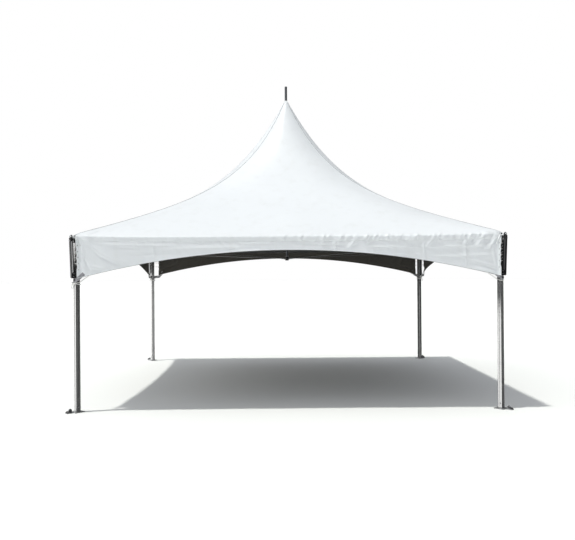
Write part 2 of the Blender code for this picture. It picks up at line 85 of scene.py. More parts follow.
HALF_SPAN = 3.048
DIAGONAL = HALF_SPAN * math.sqrt(2)
EAVE_Z = 2.500
CORNER_LIFT = 0.035
PEAK_Z = 5.165
ROOF_HALF = 3.1025
PEAK_RADIUS = 0.030
SLOPE_SHARE = 0.565
SLOPE_POWER = 0.965
SPIRE_POWER = 3.63
SQUARING_POWER = 0.923
SHARPEST_CORNER = 60.0
ARCH_TOP_Z = 2.305
ARCH_DROP = 0.390
VALANCE_TOP_HALF = 3.055
VALANCE_BOTTOM_HALF = 3.035
PROFILE = 0.070
ARM_FOOT_OUT = 0.0642
ARM_TOP_OUT = 0.0860
ARM_FOOT_Z = 1.925
ARM_LENGTH = 0.572
ARM_SIZE = 0.045
EYE_HEIGHT = 0.018
ROPE_RADIUS = 0.0065
ROPE_START = 0.936
ROPE_LEG_Z = 1.850
ROPE_TURNS = {"front_left": 1, "front_right": 0, "back_right": 1, "back_left": 2}

CORNERS = {"front_left": 225, "front_right": 315, "back_right": 45, "back_left": 135}
SIDES = {"front": 270, "right": 0, "back": 90, "left": 180}

# Canopy sheets

CLOTH = 0.0015
FOLD_REACH = 0.012          # from the fold line to where its rounding starts
BAND_DROP = 0.072           # strip below the fold, lapped over the valance
ROOF_ROWS = 30
ROOF_COLUMNS = 96           # faces along a side, high on the roof
FINER = 5                   # as many more near the fold
FRINGE = (0.26, 0.20, 0.15, 0.11, 0.075, 0.045, 0.025)   # rows up the slope from the fold
FOLD_ROWS = 4
BAND_ROWS = 5
VALANCE_ROWS = 40
VALANCE_COLUMNS = 500
LAP = 0.0024                # valance behind the band
HEM_RADIUS = 0.0058
HEM_STEPS = (0.004, 0.012, 0.020, 0.028, 0.036)     # heights of its flat part
SHADE_BELOW = 0.15         # faces of its rope that face further down than this take painted shade

# Relief of the cloth: heights in metres, outward

SEAM_RISE = 0.0014          # the hip's seam over the cloth
SLACK = 0.0016              # unevenness of the taut roof
RIPPLE = 0.0011
BILLOW = 0.0050
PLEAT = 0.0135
HOLLOW = 0.0065             # the strip under the band's hem, which is drawn in
DEEPEST = 0.0120            # no form goes further in
FADE_UP = 0.24              # how far up the slope the creases run
SHEET_END = 0.978           # share of the half side where a sheet's end starts to curl
CURL = 0.026
FRONT_RIGHT_CURL = 0.060
SLOPE_OUT = Vector((0.42, 0, 0.907))
FOLD_OUT = Vector((0.75, 0, 0.65))

# Straps at the roof's corners, lacing of the sheets' edges, webbing tabs

STRAP_SIZE = (0.024, 0.0018)
STRAP_UNDER = (0.150, 0.005, 0.0030)    # from, to: inward of the roof's corner; and above it
STRAP_OVER = (0.010, 0.100, 0.0058)     # the same, on its way back
STRAP_TILT = 0.62           # how far its tails lean back, for each metre up
STRAP_LOOP = (              # its loop through the arm's eye: out and up from the eye
    (-0.030, -0.0015), (-0.008, -0.0040), (0.006, -0.0035), (0.0115, 0.003), (0.0110, 0.016),
    (0.0065, 0.0245), (-0.0040, 0.0250), (-0.0105, 0.019), (-0.026, 0.0075),
)
STRAP_TAILS = {             # where its tails end: below the fold, and along the side
    "front": (0.150, 2.975),
    "right": (0.058, 2.985),
    "back": (0.058, 2.985),
    "left": (0.058, 2.985),
}
LACE_HEIGHTS = (2.385, 2.300, 2.215, 2.130, 2.040)
LACED = 4                   # the lowest eyelet is left free
LACE_INSET = 0.019
LACE_RADIUS = 0.0024
LACE_KNOT = 0.0062
SIDE_HEM = (0.034, 0.0022)
SIDE_HEM_STEPS = 72
HEM_COUNT = 300             # sections of a roped hem
HEM_ALLOWANCE = 0.0012      # thickness of its flat part
TAB_Z = 1.890
TAB_OUT = PROFILE / 2 + 0.0016
TAB_SIZE = (0.054, 0.0020)
TAB_LENGTH = 0.100
TAB_RISE = 0.042            # its upper end above the hem
TAB_BEHIND = ("front", -1)  # there it is sewn to the sheet's inner face

# Hardware: bolts are (across, height), twists are (strands, lay, depth)

BOLT = (0.016, 0.010)
SHOE_BOLT = (0.013, 0.008)
ARM_BOLT = (0.017, 0.011)
MAST_BOLT = (0.010, 0.007)
WASHER = 0.0016
CLEARANCE = 0.0003          # between pieces that touch, as in the source
ROPE_TWIST = (3, 0.030, 0.20)
LACE_TWIST = (3, 0.014, 0.22)
CABLE_TWIST = (6, 0.060, 0.22)
FOOT_WELD = (1, 0.0075, 0.3)
LUG_WELD = (1, 0.0070, 0.3)
ROPE_ROUND = 0.008          # how round it goes over the leg's edges
ROPE_KNOT = 0.0125
ROPE_TAILS = ((-0.018, 0.085), (0.006, 0.060))      # aside and down from the knot
PATCH = ((0.952, 0.0435), (0.930, 0.0685))          # start and span, down the hip and along
PATCH_STEPS = 14
PATCH_PROUD = 0.0009
PIPING_RADIUS = 0.0042
PIPING_PROUD = 0.0022
RAIL_X = 0.0055             # the rails' middle, outward of the arm's axis
RAIL_SIZE = (0.0170, 0.0040, 0.454)
RAIL_MIDDLE = 0.292
RAIL_SCREWS = (0.115, 0.285, 0.455)     # heights along the arm
SHOE_BOLT_Z = (1.944, 1.984)
ARM_BOLT_HEIGHT = 0.530
LEG_BOLTS = ((-1, 0, 2.345), (0, -1, 0.078), (0, -1, 2.345), (0, 1, 0.078), (0, 1, 2.345))
BEAM_BOLTS = (0.055, 0.110)             # inward of each end
CABLE_RADIUS = 0.0050
CABLE_START = (0.0703 - DIAGONAL, 0, 2.240)     # at the mast's hub
CABLE_END_X = -0.0853                   # at the bracket
CABLE_END_DOWN = 0.015                  # its end below the beam's lower face
FORK_SIZE = (0.052, 0.0045, 0.020)
TURNBUCKLE = (0.30, 0.060, 0.011)       # back from the corner, half length, half width

# Ends of each hanging sheet along its side, as (at the fold, at the hem): the front one
# reaches the arms, the others stop short. Its edges draw in between the eyelets.

SHEET_ENDS = {
    "front": ((-3.045, -3.028), (3.042, 3.036)),
    "right": ((-2.930, -2.915), (2.835, 2.820)),
    "back": ((-2.995, -2.980), (2.930, 2.915)),
    "left": ((-2.950, -2.935), (2.930, 2.915)),
}
EDGE_HOLLOW = {"front": 0.003, "right": 0.006, "back": 0.006, "left": 0.006}
SCALLOP = 0.007


# Nodes: an input is named with _ for its spaces, and is a value or the socket that feeds it

def feed(tree, socket, value):
    if isinstance(value, bpy.types.NodeSocket):
        tree.links.new(value, socket)
    else:
        socket.default_value = value


def add_node(tree, kind, settings=None, **inputs):
    node = tree.nodes.new(kind)
    for key, value in (settings or {}).items():
        setattr(node, key, value)
    for key, value in inputs.items():
        feed(tree, node.inputs[key.replace("_", " ")], value)
    return node


def math_of(tree, operation, *values):
    node = add_node(tree, "ShaderNodeMath", {"operation": operation})
    for socket, value in zip(node.inputs, values):
        feed(tree, socket, value)
    return node.outputs["Value"]


def object_place(tree, scale=(1, 1, 1)):
    """Object coordinates, in metres, stretched by a scale."""
    place = add_node(tree, "ShaderNodeTexCoord").outputs["Object"]
    return add_node(tree, "ShaderNodeMapping", Scale=scale, Vector=place).outputs["Vector"]


def noise_of(tree, scale, detail, stretch=(1, 1, 1), roughness=0.55):
    sizes = {"Scale": scale, "Detail": detail, "Roughness": roughness}
    node = add_node(tree, "ShaderNodeTexNoise", Vector=object_place(tree, stretch), **sizes)
    return node.outputs["Fac"]


def wave_of(tree, period, axis):
    """Straight bands of a period in metres, across an axis."""
    settings = {"wave_type": "BANDS", "bands_direction": axis}
    scale = 2 * math.pi / (20 * period)
    node = add_node(tree, "ShaderNodeTexWave", settings, Scale=scale, Vector=object_place(tree))
    return node.outputs["Fac"]


def ramp_of(tree, value, stops):
    """A colour ramp: stops are (place, colour or grey)."""
    node = tree.nodes.new("ShaderNodeValToRGB")
    elements = node.color_ramp.elements
    while len(elements) < len(stops):
        elements.new(0.5)
    for element, (place, colour) in zip(elements, stops):
        if not hasattr(colour, "__len__"):
            colour = (colour, colour, colour)
        element.position = place
        element.color = (*colour, 1.0)
    tree.links.new(value, node.inputs["Fac"])
    return node.outputs["Color"]


def patches_of(tree, scale, detail, low, high, stretch=(1, 1, 1), roughness=0.55):
    """Patches: none where the noise is under low, and full where it is over high."""
    noise = noise_of(tree, scale, detail, stretch, roughness)
    return ramp_of(tree, noise, [(low, 0.0), (high, 1.0)])


def mixed(tree, share, first, second, blend="MIX"):
    """Mix of two colours by a share, where a colour is a socket or three numbers."""
    node = add_node(tree, "ShaderNodeMix", {"data_type": "RGBA", "blend_type": blend})
    inputs = (("Factor", "VALUE", share), ("A", "RGBA", first), ("B", "RGBA", second))
    for name, kind, value in inputs:
        socket = [s for s in node.inputs if s.name == name and s.type == kind][0]
        plain = kind == "RGBA" and not isinstance(value, bpy.types.NodeSocket)
        feed(tree, socket, (*value, 1.0) if plain else value)
    return [s for s in node.outputs if s.type == "RGBA"][0]


def tone(colour, share):
    return [c * share for c in colour]


# Camera, light and floor

def add_object(name, data):
    made = bpy.data.objects.new(name, data)
    bpy.context.scene.collection.objects.link(made)
    return made


def make_camera():
    data = bpy.data.cameras.new("camera")
    data.sensor_width = SENSOR_MM
    data.lens = FOCAL_PIXELS * SENSOR_MM / IMAGE_WIDTH
    data.clip_end = 400
    camera = add_object("camera", data)
    yaw = Matrix.Rotation(CAMERA_YAW, 4, "Z")
    pitch = Matrix.Rotation(math.pi / 2 + CAMERA_PITCH, 4, "X")
    roll = Matrix.Rotation(CAMERA_ROLL, 4, "Z")
    camera.matrix_world = Matrix.Translation(CAMERA_PLACE) @ yaw @ pitch @ roll
    bpy.context.scene.camera = camera


def shine_from(light, towards):
    light.rotation_mode = "QUATERNION"
    light.rotation_quaternion = Vector(towards).to_track_quat("Z", "Y")


def make_suns():
    for name, (towards, strength, angle) in SUNS.items():
        data = bpy.data.lights.new(name, "SUN")
        data.energy = strength
        data.angle = math.radians(angle)
        data.color = SUN_COLOUR
        shine_from(add_object(name, data), towards)


def make_softboxes():
    """Upright soft lights at the sides, which only the metal's sheen catches."""
    for k, (place, size, watts) in enumerate(SOFTBOXES):
        data = bpy.data.lights.new(f"softbox_{k}", "AREA")
        data.shape = "RECTANGLE"
        data.size, data.size_y = size
        data.energy = watts
        box = add_object(f"softbox_{k}", data)
        box.location = place
        shine_from(box, (place[0], 0, 0))
        box.visible_camera = False
        box.visible_diffuse = False


def sky_strength(tree):
    """Weak light from the horizon and strong from above, more from the left than the right."""
    towards = add_node(tree, "ShaderNodeTexCoord").outputs["Generated"]
    parts = add_node(tree, "ShaderNodeSeparateXYZ", Vector=towards)
    spans = []
    for axis, lowest, (low, high) in (("Z", 0.0, SKY_BY_HEIGHT), ("X", -1.0, SKY_BY_SIDE)):
        ends = {"From_Min": lowest, "From_Max": 1.0, "To_Min": low, "To_Max": high}
        span = add_node(tree, "ShaderNodeMapRange", Value=parts.outputs[axis], **ends)
        spans.append(span.outputs["Result"])
    return math_of(tree, "MULTIPLY", *spans)


def make_world():
    """White behind the tent, and a softer light on it, of which reflections show a share."""
    world = bpy.data.worlds.new("studio")
    bpy.context.scene.world = world
    world.use_nodes = True
    tree = world.node_tree
    tree.nodes.clear()
    path = add_node(tree, "ShaderNodeLightPath").outputs
    dimmed = math_of(tree, "MULTIPLY_ADD", path["Is Glossy Ray"], SKY_IN_GLOSS - 1.0, 1.0)
    strength = math_of(tree, "MULTIPLY", sky_strength(tree), dimmed)
    light = add_node(tree, "ShaderNodeBackground", Color=SKY_COLOUR, Strength=strength)
    white = add_node(tree, "ShaderNodeBackground", Color=(1.0, 1.0, 1.0, 1.0), Strength=1.0)
    mix = add_node(tree, "ShaderNodeMixShader", Fac=path["Is Camera Ray"])
    tree.links.new(light.outputs["Background"], mix.inputs[1])
    tree.links.new(white.outputs["Background"], mix.inputs[2])
    add_node(tree, "ShaderNodeOutputWorld", Surface=mix.outputs["Shader"])


def make_floor():
    mesh = bpy.data.meshes.new("floor")
    bm = bmesh.new()
    bmesh.ops.create_circle(bm, cap_ends=True, radius=FLOOR_RADIUS, segments=64)
    bm.to_mesh(mesh)
    bm.free()
    mesh.materials.append(pale_floor("pale_floor"))
    floor = add_object("floor", mesh)
    floor.visible_glossy = False


# Materials

def new_material(name, **inputs):
    made = bpy.data.materials.new(name)
    made.use_nodes = True
    shader = made.node_tree.nodes["Principled BSDF"]
    for key, value in inputs.items():
        shader.inputs[key.replace("_", " ")].default_value = value
    return made, made.node_tree


def dressed(made, colour, rough, *bumps):
    """Feeds the shader its colour, its roughness and a chain of (height, strength, distance)."""
    tree = made.node_tree
    shader = tree.nodes["Principled BSDF"]
    tree.links.new(colour, shader.inputs["Base Color"])
    tree.links.new(rough, shader.inputs["Roughness"])
    before = {}
    for height, strength, distance in bumps:
        sizes = {"Strength": strength, "Distance": distance}
        node = add_node(tree, "ShaderNodeBump", Height=height, **sizes, **before)
        before = {"Normal": node.outputs["Normal"]}
    tree.links.new(before["Normal"], shader.inputs["Normal"])
    return made


def coated_fabric(name, clean, darkened, roughness=0.42, coat=0.06):
    """Coated polyester: a fine scrim under a satin film, faint mottling and rain streaks."""
    film = {"Coat_Weight": coat, "Coat_Roughness": 0.35, "Specular_IOR_Level": 0.35}
    made, tree = new_material(name, **film)
    cloud = patches_of(tree, 1.1, 4, 0.35, 0.75)
    streaks = patches_of(tree, 7.0, 6, 0.52, 0.80, (1, 1, 0.12))
    spots = patches_of(tree, 46.0, 3, 0.66, 0.76)
    tint = mixed(tree, cloud, clean, tone(clean, 0.975))
    grime = mixed(tree, 0.35, streaks, spots, "LIGHTEN")
    amount = mixed(tree, 1.0, grime, (0.16, 0.16, 0.16), "MULTIPLY")
    colour = mixed(tree, amount, tint, darkened)
    rough = ramp_of(tree, noise_of(tree, 3.0, 5), [(0.3, roughness - 0.05), (0.8, roughness + 0.10)])
    scrim = mixed(tree, 0.5, wave_of(tree, 0.0013, "X"), wave_of(tree, 0.0013, "Z"))
    crumple = noise_of(tree, 16.0, 4, roughness=0.6)
    return dressed(made, colour, rough, (scrim, 0.10, 0.0002), (crumple, 0.10, 0.004))


def extruded_metal(name, axis, low, high, roughness=(0.34, 0.46), metallic=0.92):
    """Drawn aluminium: die lines along an axis, dull patches and scuffs."""
    made, tree = new_material(name, Metallic=metallic)
    lines = noise_of(tree, 9.0, 5, [0.55 if letter == axis else 26.0 for letter in "XYZ"])
    patches = noise_of(tree, 6.0, 5)
    dull = ramp_of(tree, patches, [(0.35, 0.0), (0.70, 1.0)])
    drawn = ramp_of(tree, lines, [(0.30, low), (0.70, high)])
    colour = mixed(tree, dull, drawn, tone(high, 0.88))
    scuffs = patches_of(tree, 60.0, 3, 0.62, 0.70, (1, 1, 0.35))
    amount = mixed(tree, 1.0, scuffs, (0.35, 0.35, 0.35), "MULTIPLY")
    worn = mixed(tree, amount, colour, tone(low, 0.55))
    rough = ramp_of(tree, patches, [(0.3, roughness[0]), (0.75, roughness[1])])
    return dressed(made, worn, rough, (lines, 0.10, 0.0003), (scuffs, 0.05, 0.0003))


def galvanised_metal(name):
    """Hot-dipped zinc: crystal spangle, dull bloom and rust at a few specks."""
    made, tree = new_material(name, Metallic=0.85)
    place = object_place(tree)
    spangle = add_node(tree, "ShaderNodeTexVoronoi", Vector=place, Scale=95.0, Randomness=1.0)
    crystals = [(0.1, (0.34, 0.35, 0.36)), (0.9, (0.56, 0.57, 0.58))]
    crystal = ramp_of(tree, spangle.outputs["Color"], crystals)
    bloomed = mixed(tree, patches_of(tree, 22.0, 5, 0.45, 0.72), crystal, (0.40, 0.40, 0.39))
    rust = patches_of(tree, 70.0, 4, 0.68, 0.76)
    colour = mixed(tree, rust, bloomed, (0.20, 0.11, 0.06))
    rough = ramp_of(tree, noise_of(tree, 30.0, 3), [(0.3, 0.36), (0.75, 0.62)])
    bumps = ((spangle.outputs["Distance"], 0.10, 0.0004), (rust, 0.15, 0.0003))
    return dressed(made, colour, rough, *bumps)


def dark_metal(name, colour=(0.060, 0.060, 0.064), worn=(0.26, 0.26, 0.27), roughness=0.42):
    """Blackened steel casting: grain, handling wear and a few bright rubs."""
    made, tree = new_material(name, Metallic=0.75)
    grain = noise_of(tree, 180.0, 4)
    rubs = patches_of(tree, 26.0, 6, 0.56, 0.70, roughness=0.65)
    body = ramp_of(tree, grain, [(0.3, tone(colour, 0.75)), (0.8, tone(colour, 1.35))])
    rough = ramp_of(tree, rubs, [(0.0, roughness + 0.08), (1.0, roughness - 0.10)])
    return dressed(made, mixed(tree, rubs, body, worn), rough, (grain, 0.22, 0.0005))


def woven_band(name, dark, light, period=0.0026):
    """Flat webbing: ribs across it and a darker edge of handling dirt."""
    made, tree = new_material(name, Sheen_Weight=0.15)
    ribs = mixed(tree, 0.5, wave_of(tree, period, "X"), wave_of(tree, period, "Z"))
    soil = noise_of(tree, 24.0, 5)
    darkened = ramp_of(tree, soil, [(0.45, 0.0), (0.85, 0.6)])
    yarn = ramp_of(tree, ribs, [(0.2, dark), (0.8, light)])
    rough = ramp_of(tree, soil, [(0.3, 0.72), (0.8, 0.92)])
    return dressed(made, mixed(tree, darkened, yarn, tone(dark, 0.62)), rough, (ribs, 0.35, 0.0006))


def twisted_rope(name, dark, light):
    """Pale laid rope: fuzzy yarn and grime in the lay."""
    made, tree = new_material(name, Sheen_Weight=0.20)
    yarn = noise_of(tree, 420.0, 3)
    soil = noise_of(tree, 30.0, 5)
    darkened = ramp_of(tree, soil, [(0.5, 0.0), (0.8, 0.5)])
    body = ramp_of(tree, yarn, [(0.3, dark), (0.7, light)])
    rough = ramp_of(tree, soil, [(0.3, 0.78), (0.8, 0.95)])
    return dressed(made, mixed(tree, darkened, body, tone(dark, 0.55)), rough, (yarn, 0.4, 0.0006))


def pale_floor(name):
    made, tree = new_material(name, Roughness=0.9, Specular_IOR_Level=0.0)
    stops = [(0.3, (0.935, 0.945, 0.925)), (0.8, (0.955, 0.965, 0.945))]
    colour = ramp_of(tree, noise_of(tree, 0.25, 3), stops)
    tree.links.new(colour, tree.nodes["Principled BSDF"].inputs["Base Color"])
    return made


# Mesh helpers

def mesh_of(name, points, faces):
    mesh = bpy.data.meshes.new(name)
    mesh.from_pydata([tuple(p) for p in points], [], faces)
    mesh.validate()
    mesh.shade_smooth()
    return mesh


def add_piece(name, mesh, materials, matrix=None, replaced=()):
    """A piece of the tent, on its only body."""
    for made in materials:
        mesh.materials.append(made)
    if matrix is not None:
        mesh.transform(matrix)
    mesh.update()
    piece = add_object(name, mesh)
    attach(piece, "root")
    if replaced:
        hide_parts(*replaced)
    return piece


def thicken(piece, thickness=CLOTH, offset=-1.0, inner_material=1):
    step = piece.modifiers.new("Cloth_thickness", "SOLIDIFY")
    step.thickness = thickness
    step.offset = offset
    step.use_even_offset = False
    step.material_offset = inner_material


def turn_of(side):
    return Matrix.Rotation(math.radians(SIDES[side]), 4, "Z")


def corner_place(corner):
    angle = math.radians(CORNERS[corner])
    shift = Matrix.Translation((DIAGONAL * math.cos(angle), DIAGONAL * math.sin(angle), 0))
    return shift @ Matrix.Rotation(angle, 4, "Z")


def facing(place, axis):
    """A matrix at a place, with its Z axis along a direction."""
    return Matrix.Translation(place) @ Vector(axis).to_track_quat("Z", "Y").to_matrix().to_4x4()


def grid_faces(rows, columns, start=0, flipped=False):
    faces = []
    for i in range(rows - 1):
        for j in range(columns - 1):
            a = start + i * columns + j
            face = (a, a + 1, a + columns + 1, a + columns)
            faces.append(tuple(reversed(face)) if flipped else face)
    return faces


def tangent_at(path, i):
    return (path[min(i + 1, len(path) - 1)] - path[max(i - 1, 0)]).normalized()


def path_frames(points, up=None):
    """At each point of a path: the point, and two unit vectors across the path."""
    points = [Vector(p) for p in points]
    frames = []
    across = Vector(up) if up else tangent_at(points, 0).orthogonal()
    for i, point in enumerate(points):
        tangent = tangent_at(points, i)
        if up:
            across = Vector(up)
        across = (across - tangent * across.dot(tangent)).normalized()
        frames.append((point, across, tangent.cross(across)))
    return frames


def smooth_path(points, steps):
    """A Catmull-Rom curve through the points."""
    points = [Vector(p) for p in points]
    padded = [points[0] * 2 - points[1]] + points + [points[-1] * 2 - points[-2]]
    found = []
    for i in range(1, len(padded) - 2):
        p0, p1, p2, p3 = padded[i - 1:i + 3]
        for k in range(steps):
            u = k / steps
            found.append(
                0.5 * (
                    2 * p1 + (p2 - p0) * u
                    + (2 * p0 - 5 * p1 + 4 * p2 - p3) * u * u
                    + (3 * p1 - p0 - 3 * p2 + p3) * u * u * u
                )
            )
    found.append(points[-1])
    return found


def even_path(points, spacing):
    """The same path with points an even distance apart."""
    points = [Vector(p) for p in points]
    lengths = [0.0]
    for a, b in zip(points, points[1:]):
        lengths.append(lengths[-1] + (b - a).length)
    count = max(int(lengths[-1] / spacing), 2)
    found = []
    k = 0
    for i in range(count + 1):
        target = lengths[-1] * i / count
        while k < len(points) - 2 and lengths[k + 1] < target:
            k += 1
        span = max(lengths[k + 1] - lengths[k], 1e-9)
        found.append(points[k].lerp(points[k + 1], (target - lengths[k]) / span))
    return found


class Shape:
    """Points and faces that grow as forms are added. Each form gives the shape back."""

    def __init__(self):
        self.points = []
        self.faces = []

    def add(self, points, faces, matrix=None):
        start = len(self.points)
        if matrix is not None:
            points = [matrix @ Vector(p) for p in points]
        self.points += [tuple(p) for p in points]
        self.faces += [tuple(start + k for k in face) for face in faces]
        return self

    def skin(self, rings, matrix=None):
        """A closed body through rings of equally many points."""
        count = len(rings[0])
        last = (len(rings) - 1) * count
        faces = []
        for a in range(0, last, count):
            b = a + count
            for j in range(count):
                k = (j + 1) % count
                faces.append((a + j, a + k, b + k, b + j))
        faces.append(tuple(reversed(range(count))))
        faces.append(tuple(range(last, last + count)))
        return self.add([point for ring in rings for point in ring], faces, matrix)

    def tube(self, path, radius, sides=12, twist=(0, 1.0, 0.0), up=None):
        """A closed round bar along a path; its twist is (strands, lay, depth)."""
        strands, lay, depth = twist
        rings = []
        run = 0.0
        last = Vector(path[0])
        for point, across, other in path_frames(path, up):
            run += (point - last).length
            last = point
            ring = []
            for j in range(sides):
                angle = 2 * math.pi * j / sides
                lobe = abs(math.cos(strands * (angle - 2 * math.pi * run / lay) / 2))
                size = radius * (1 - depth + depth * lobe)
                ring.append(point + (across * math.cos(angle) + other * math.sin(angle)) * size)
            rings.append(ring)
        return self.skin(rings)

    def ribbon(self, path, size, wide=(0, 0, 1)):
        """A closed flat band along a path; wide is its width's direction, or one for each point."""
        width, thickness = size
        path = [Vector(p) for p in path]
        rings = []
        for i, point in enumerate(path):
            tangent = tangent_at(path, i)
            side = Vector(wide[i] if hasattr(wide[0], "__len__") else wide)
            side = (side - tangent * side.dot(tangent)).normalized()
            w, h = side * width / 2, tangent.cross(side) * thickness / 2
            edge = w * 0.96
            front = [point + edge + h, point + w, point + edge - h]
            rings.append(front + [point - edge - h, point - w, point - edge + h])
        return self.skin(rings)

    def lathe(self, profile, sides=24, matrix=None, core=None):
        """A closed body turned about Z from (radius, height), from a core radius and back to it."""
        if core:
            profile = [(core, profile[0][1]), *profile, (core, profile[-1][1])]
        turns = [2 * math.pi * j / sides for j in range(sides)]
        rings = [[(r * math.cos(a), r * math.sin(a), z) for a in turns] for r, z in profile]
        return self.skin(rings, matrix)

    def ring(self, radius, thickness, matrix, sides=20, section=8):
        """A torus about the matrix's Z axis."""
        points, faces = [], []
        for i in range(sides):
            a = 2 * math.pi * i / sides
            for j in range(section):
                b = 2 * math.pi * j / section
                reach = radius + thickness * math.cos(b)
                points.append((reach * math.cos(a), reach * math.sin(a), thickness * math.sin(b)))
                k, m = (i + 1) % sides, (j + 1) % section
                faces.append((i * section + j, k * section + j, k * section + m, i * section + m))
        return self.add(points, faces, matrix)

    def block(self, size, matrix, edge=0.0008):
        """A box with its edges cut, centred on the matrix."""
        bm = bmesh.new()
        bmesh.ops.create_cube(bm, size=1.0)
        bmesh.ops.scale(bm, vec=size, verts=bm.verts)
        cut = {"offset": edge, "segments": 2, "affect": "EDGES", "profile": 0.6}
        bmesh.ops.bevel(bm, geom=list(bm.edges), **cut)
        bm.verts.index_update()
        faces = [[v.index for v in f.verts] for f in bm.faces]
        self.add([v.co.copy() for v in bm.verts], faces, matrix)
        bm.free()
        return self

    def bolt(self, size, matrix):
        """A hexagon head standing on the matrix's plane, with a washer under it."""
        across, height = size
        radius, washer = across / math.sqrt(3), across * 0.72
        head = [(radius, WASHER), (radius, height * 0.85), (radius * 0.86, height)]
        self.lathe([(washer, 0), (washer, WASHER)], 24, matrix, 0.0005)
        return self.lathe(head, 6, matrix, 0.0005)

    def mesh(self, name, sharp=35):
        mesh = mesh_of(name, self.points, self.faces)
        mesh.set_sharp_from_angle(angle=math.radians(sharp))
        return mesh


def add_shape(name, shape, sharp, material, matrix=None, replaced=()):
    return add_piece(name, shape.mesh(name, sharp), [material], matrix, replaced)


def halved(low, high, is_low):
    """Where a test that holds at low and not at high changes."""
    for _ in range(50):
        middle = (low + high) / 2
        if is_low(middle):
            low = middle
        else:
            high = middle
    return low


# Roof surface

def fall(t):
    left = 1.0 - t
    return SLOPE_SHARE * left ** SLOPE_POWER + (1.0 - SLOPE_SHARE) * left ** SPIRE_POWER


def eave_height(along):
    return EAVE_Z + CORNER_LIFT * abs(along) ** 6


def contour(half_width, t, along):
    exponent = min(2.0 / max(1.0 - t, 1e-6) ** SQUARING_POWER, SHARPEST_CORNER)
    scale = half_width / (1.0 + abs(along) ** exponent) ** (1.0 / exponent)
    return scale, scale * along


def roof_point(t, along):
    half_width = PEAK_RADIUS + (ROOF_HALF - PEAK_RADIUS) * t
    eave = eave_height(along)
    x, y = contour(half_width, t, along)
    return Vector((x, y, eave + fall(t) * (PEAK_Z - eave)))


def arch_height(distance):
    return ARCH_TOP_Z - ARCH_DROP * (distance / VALANCE_BOTTOM_HALF) ** 2


# Relief of the hanging sheets: outward shift at a place along the side and below the fold

def bell(x, width):
    """A crest with a fairly sharp top."""
    return math.exp(-abs(x / width) ** 1.45)


def step_between(low, high, x):
    u = min(max((x - low) / (high - low), 0.0), 1.0)
    return u * u * (3 - 2 * u)


def make_waves(seed, count, shortest, longest):
    source = random.Random(seed)
    waves = []
    for _ in range(count):
        length = shortest * (longest / shortest) ** source.random()
        waves.append((2 * math.pi / length, source.uniform(-1, 1), source.uniform(0, 2 * math.pi)))
    return waves


def wavy(waves, y, d, lean):
    total = 0.0
    for rate, tilt, phase in waves:
        total += math.sin(rate * (y + d * (lean + 0.35 * tilt)) + phase)
    return total / math.sqrt(len(waves))


# Creases: (start y, start depth, end y, end depth, half width, height)

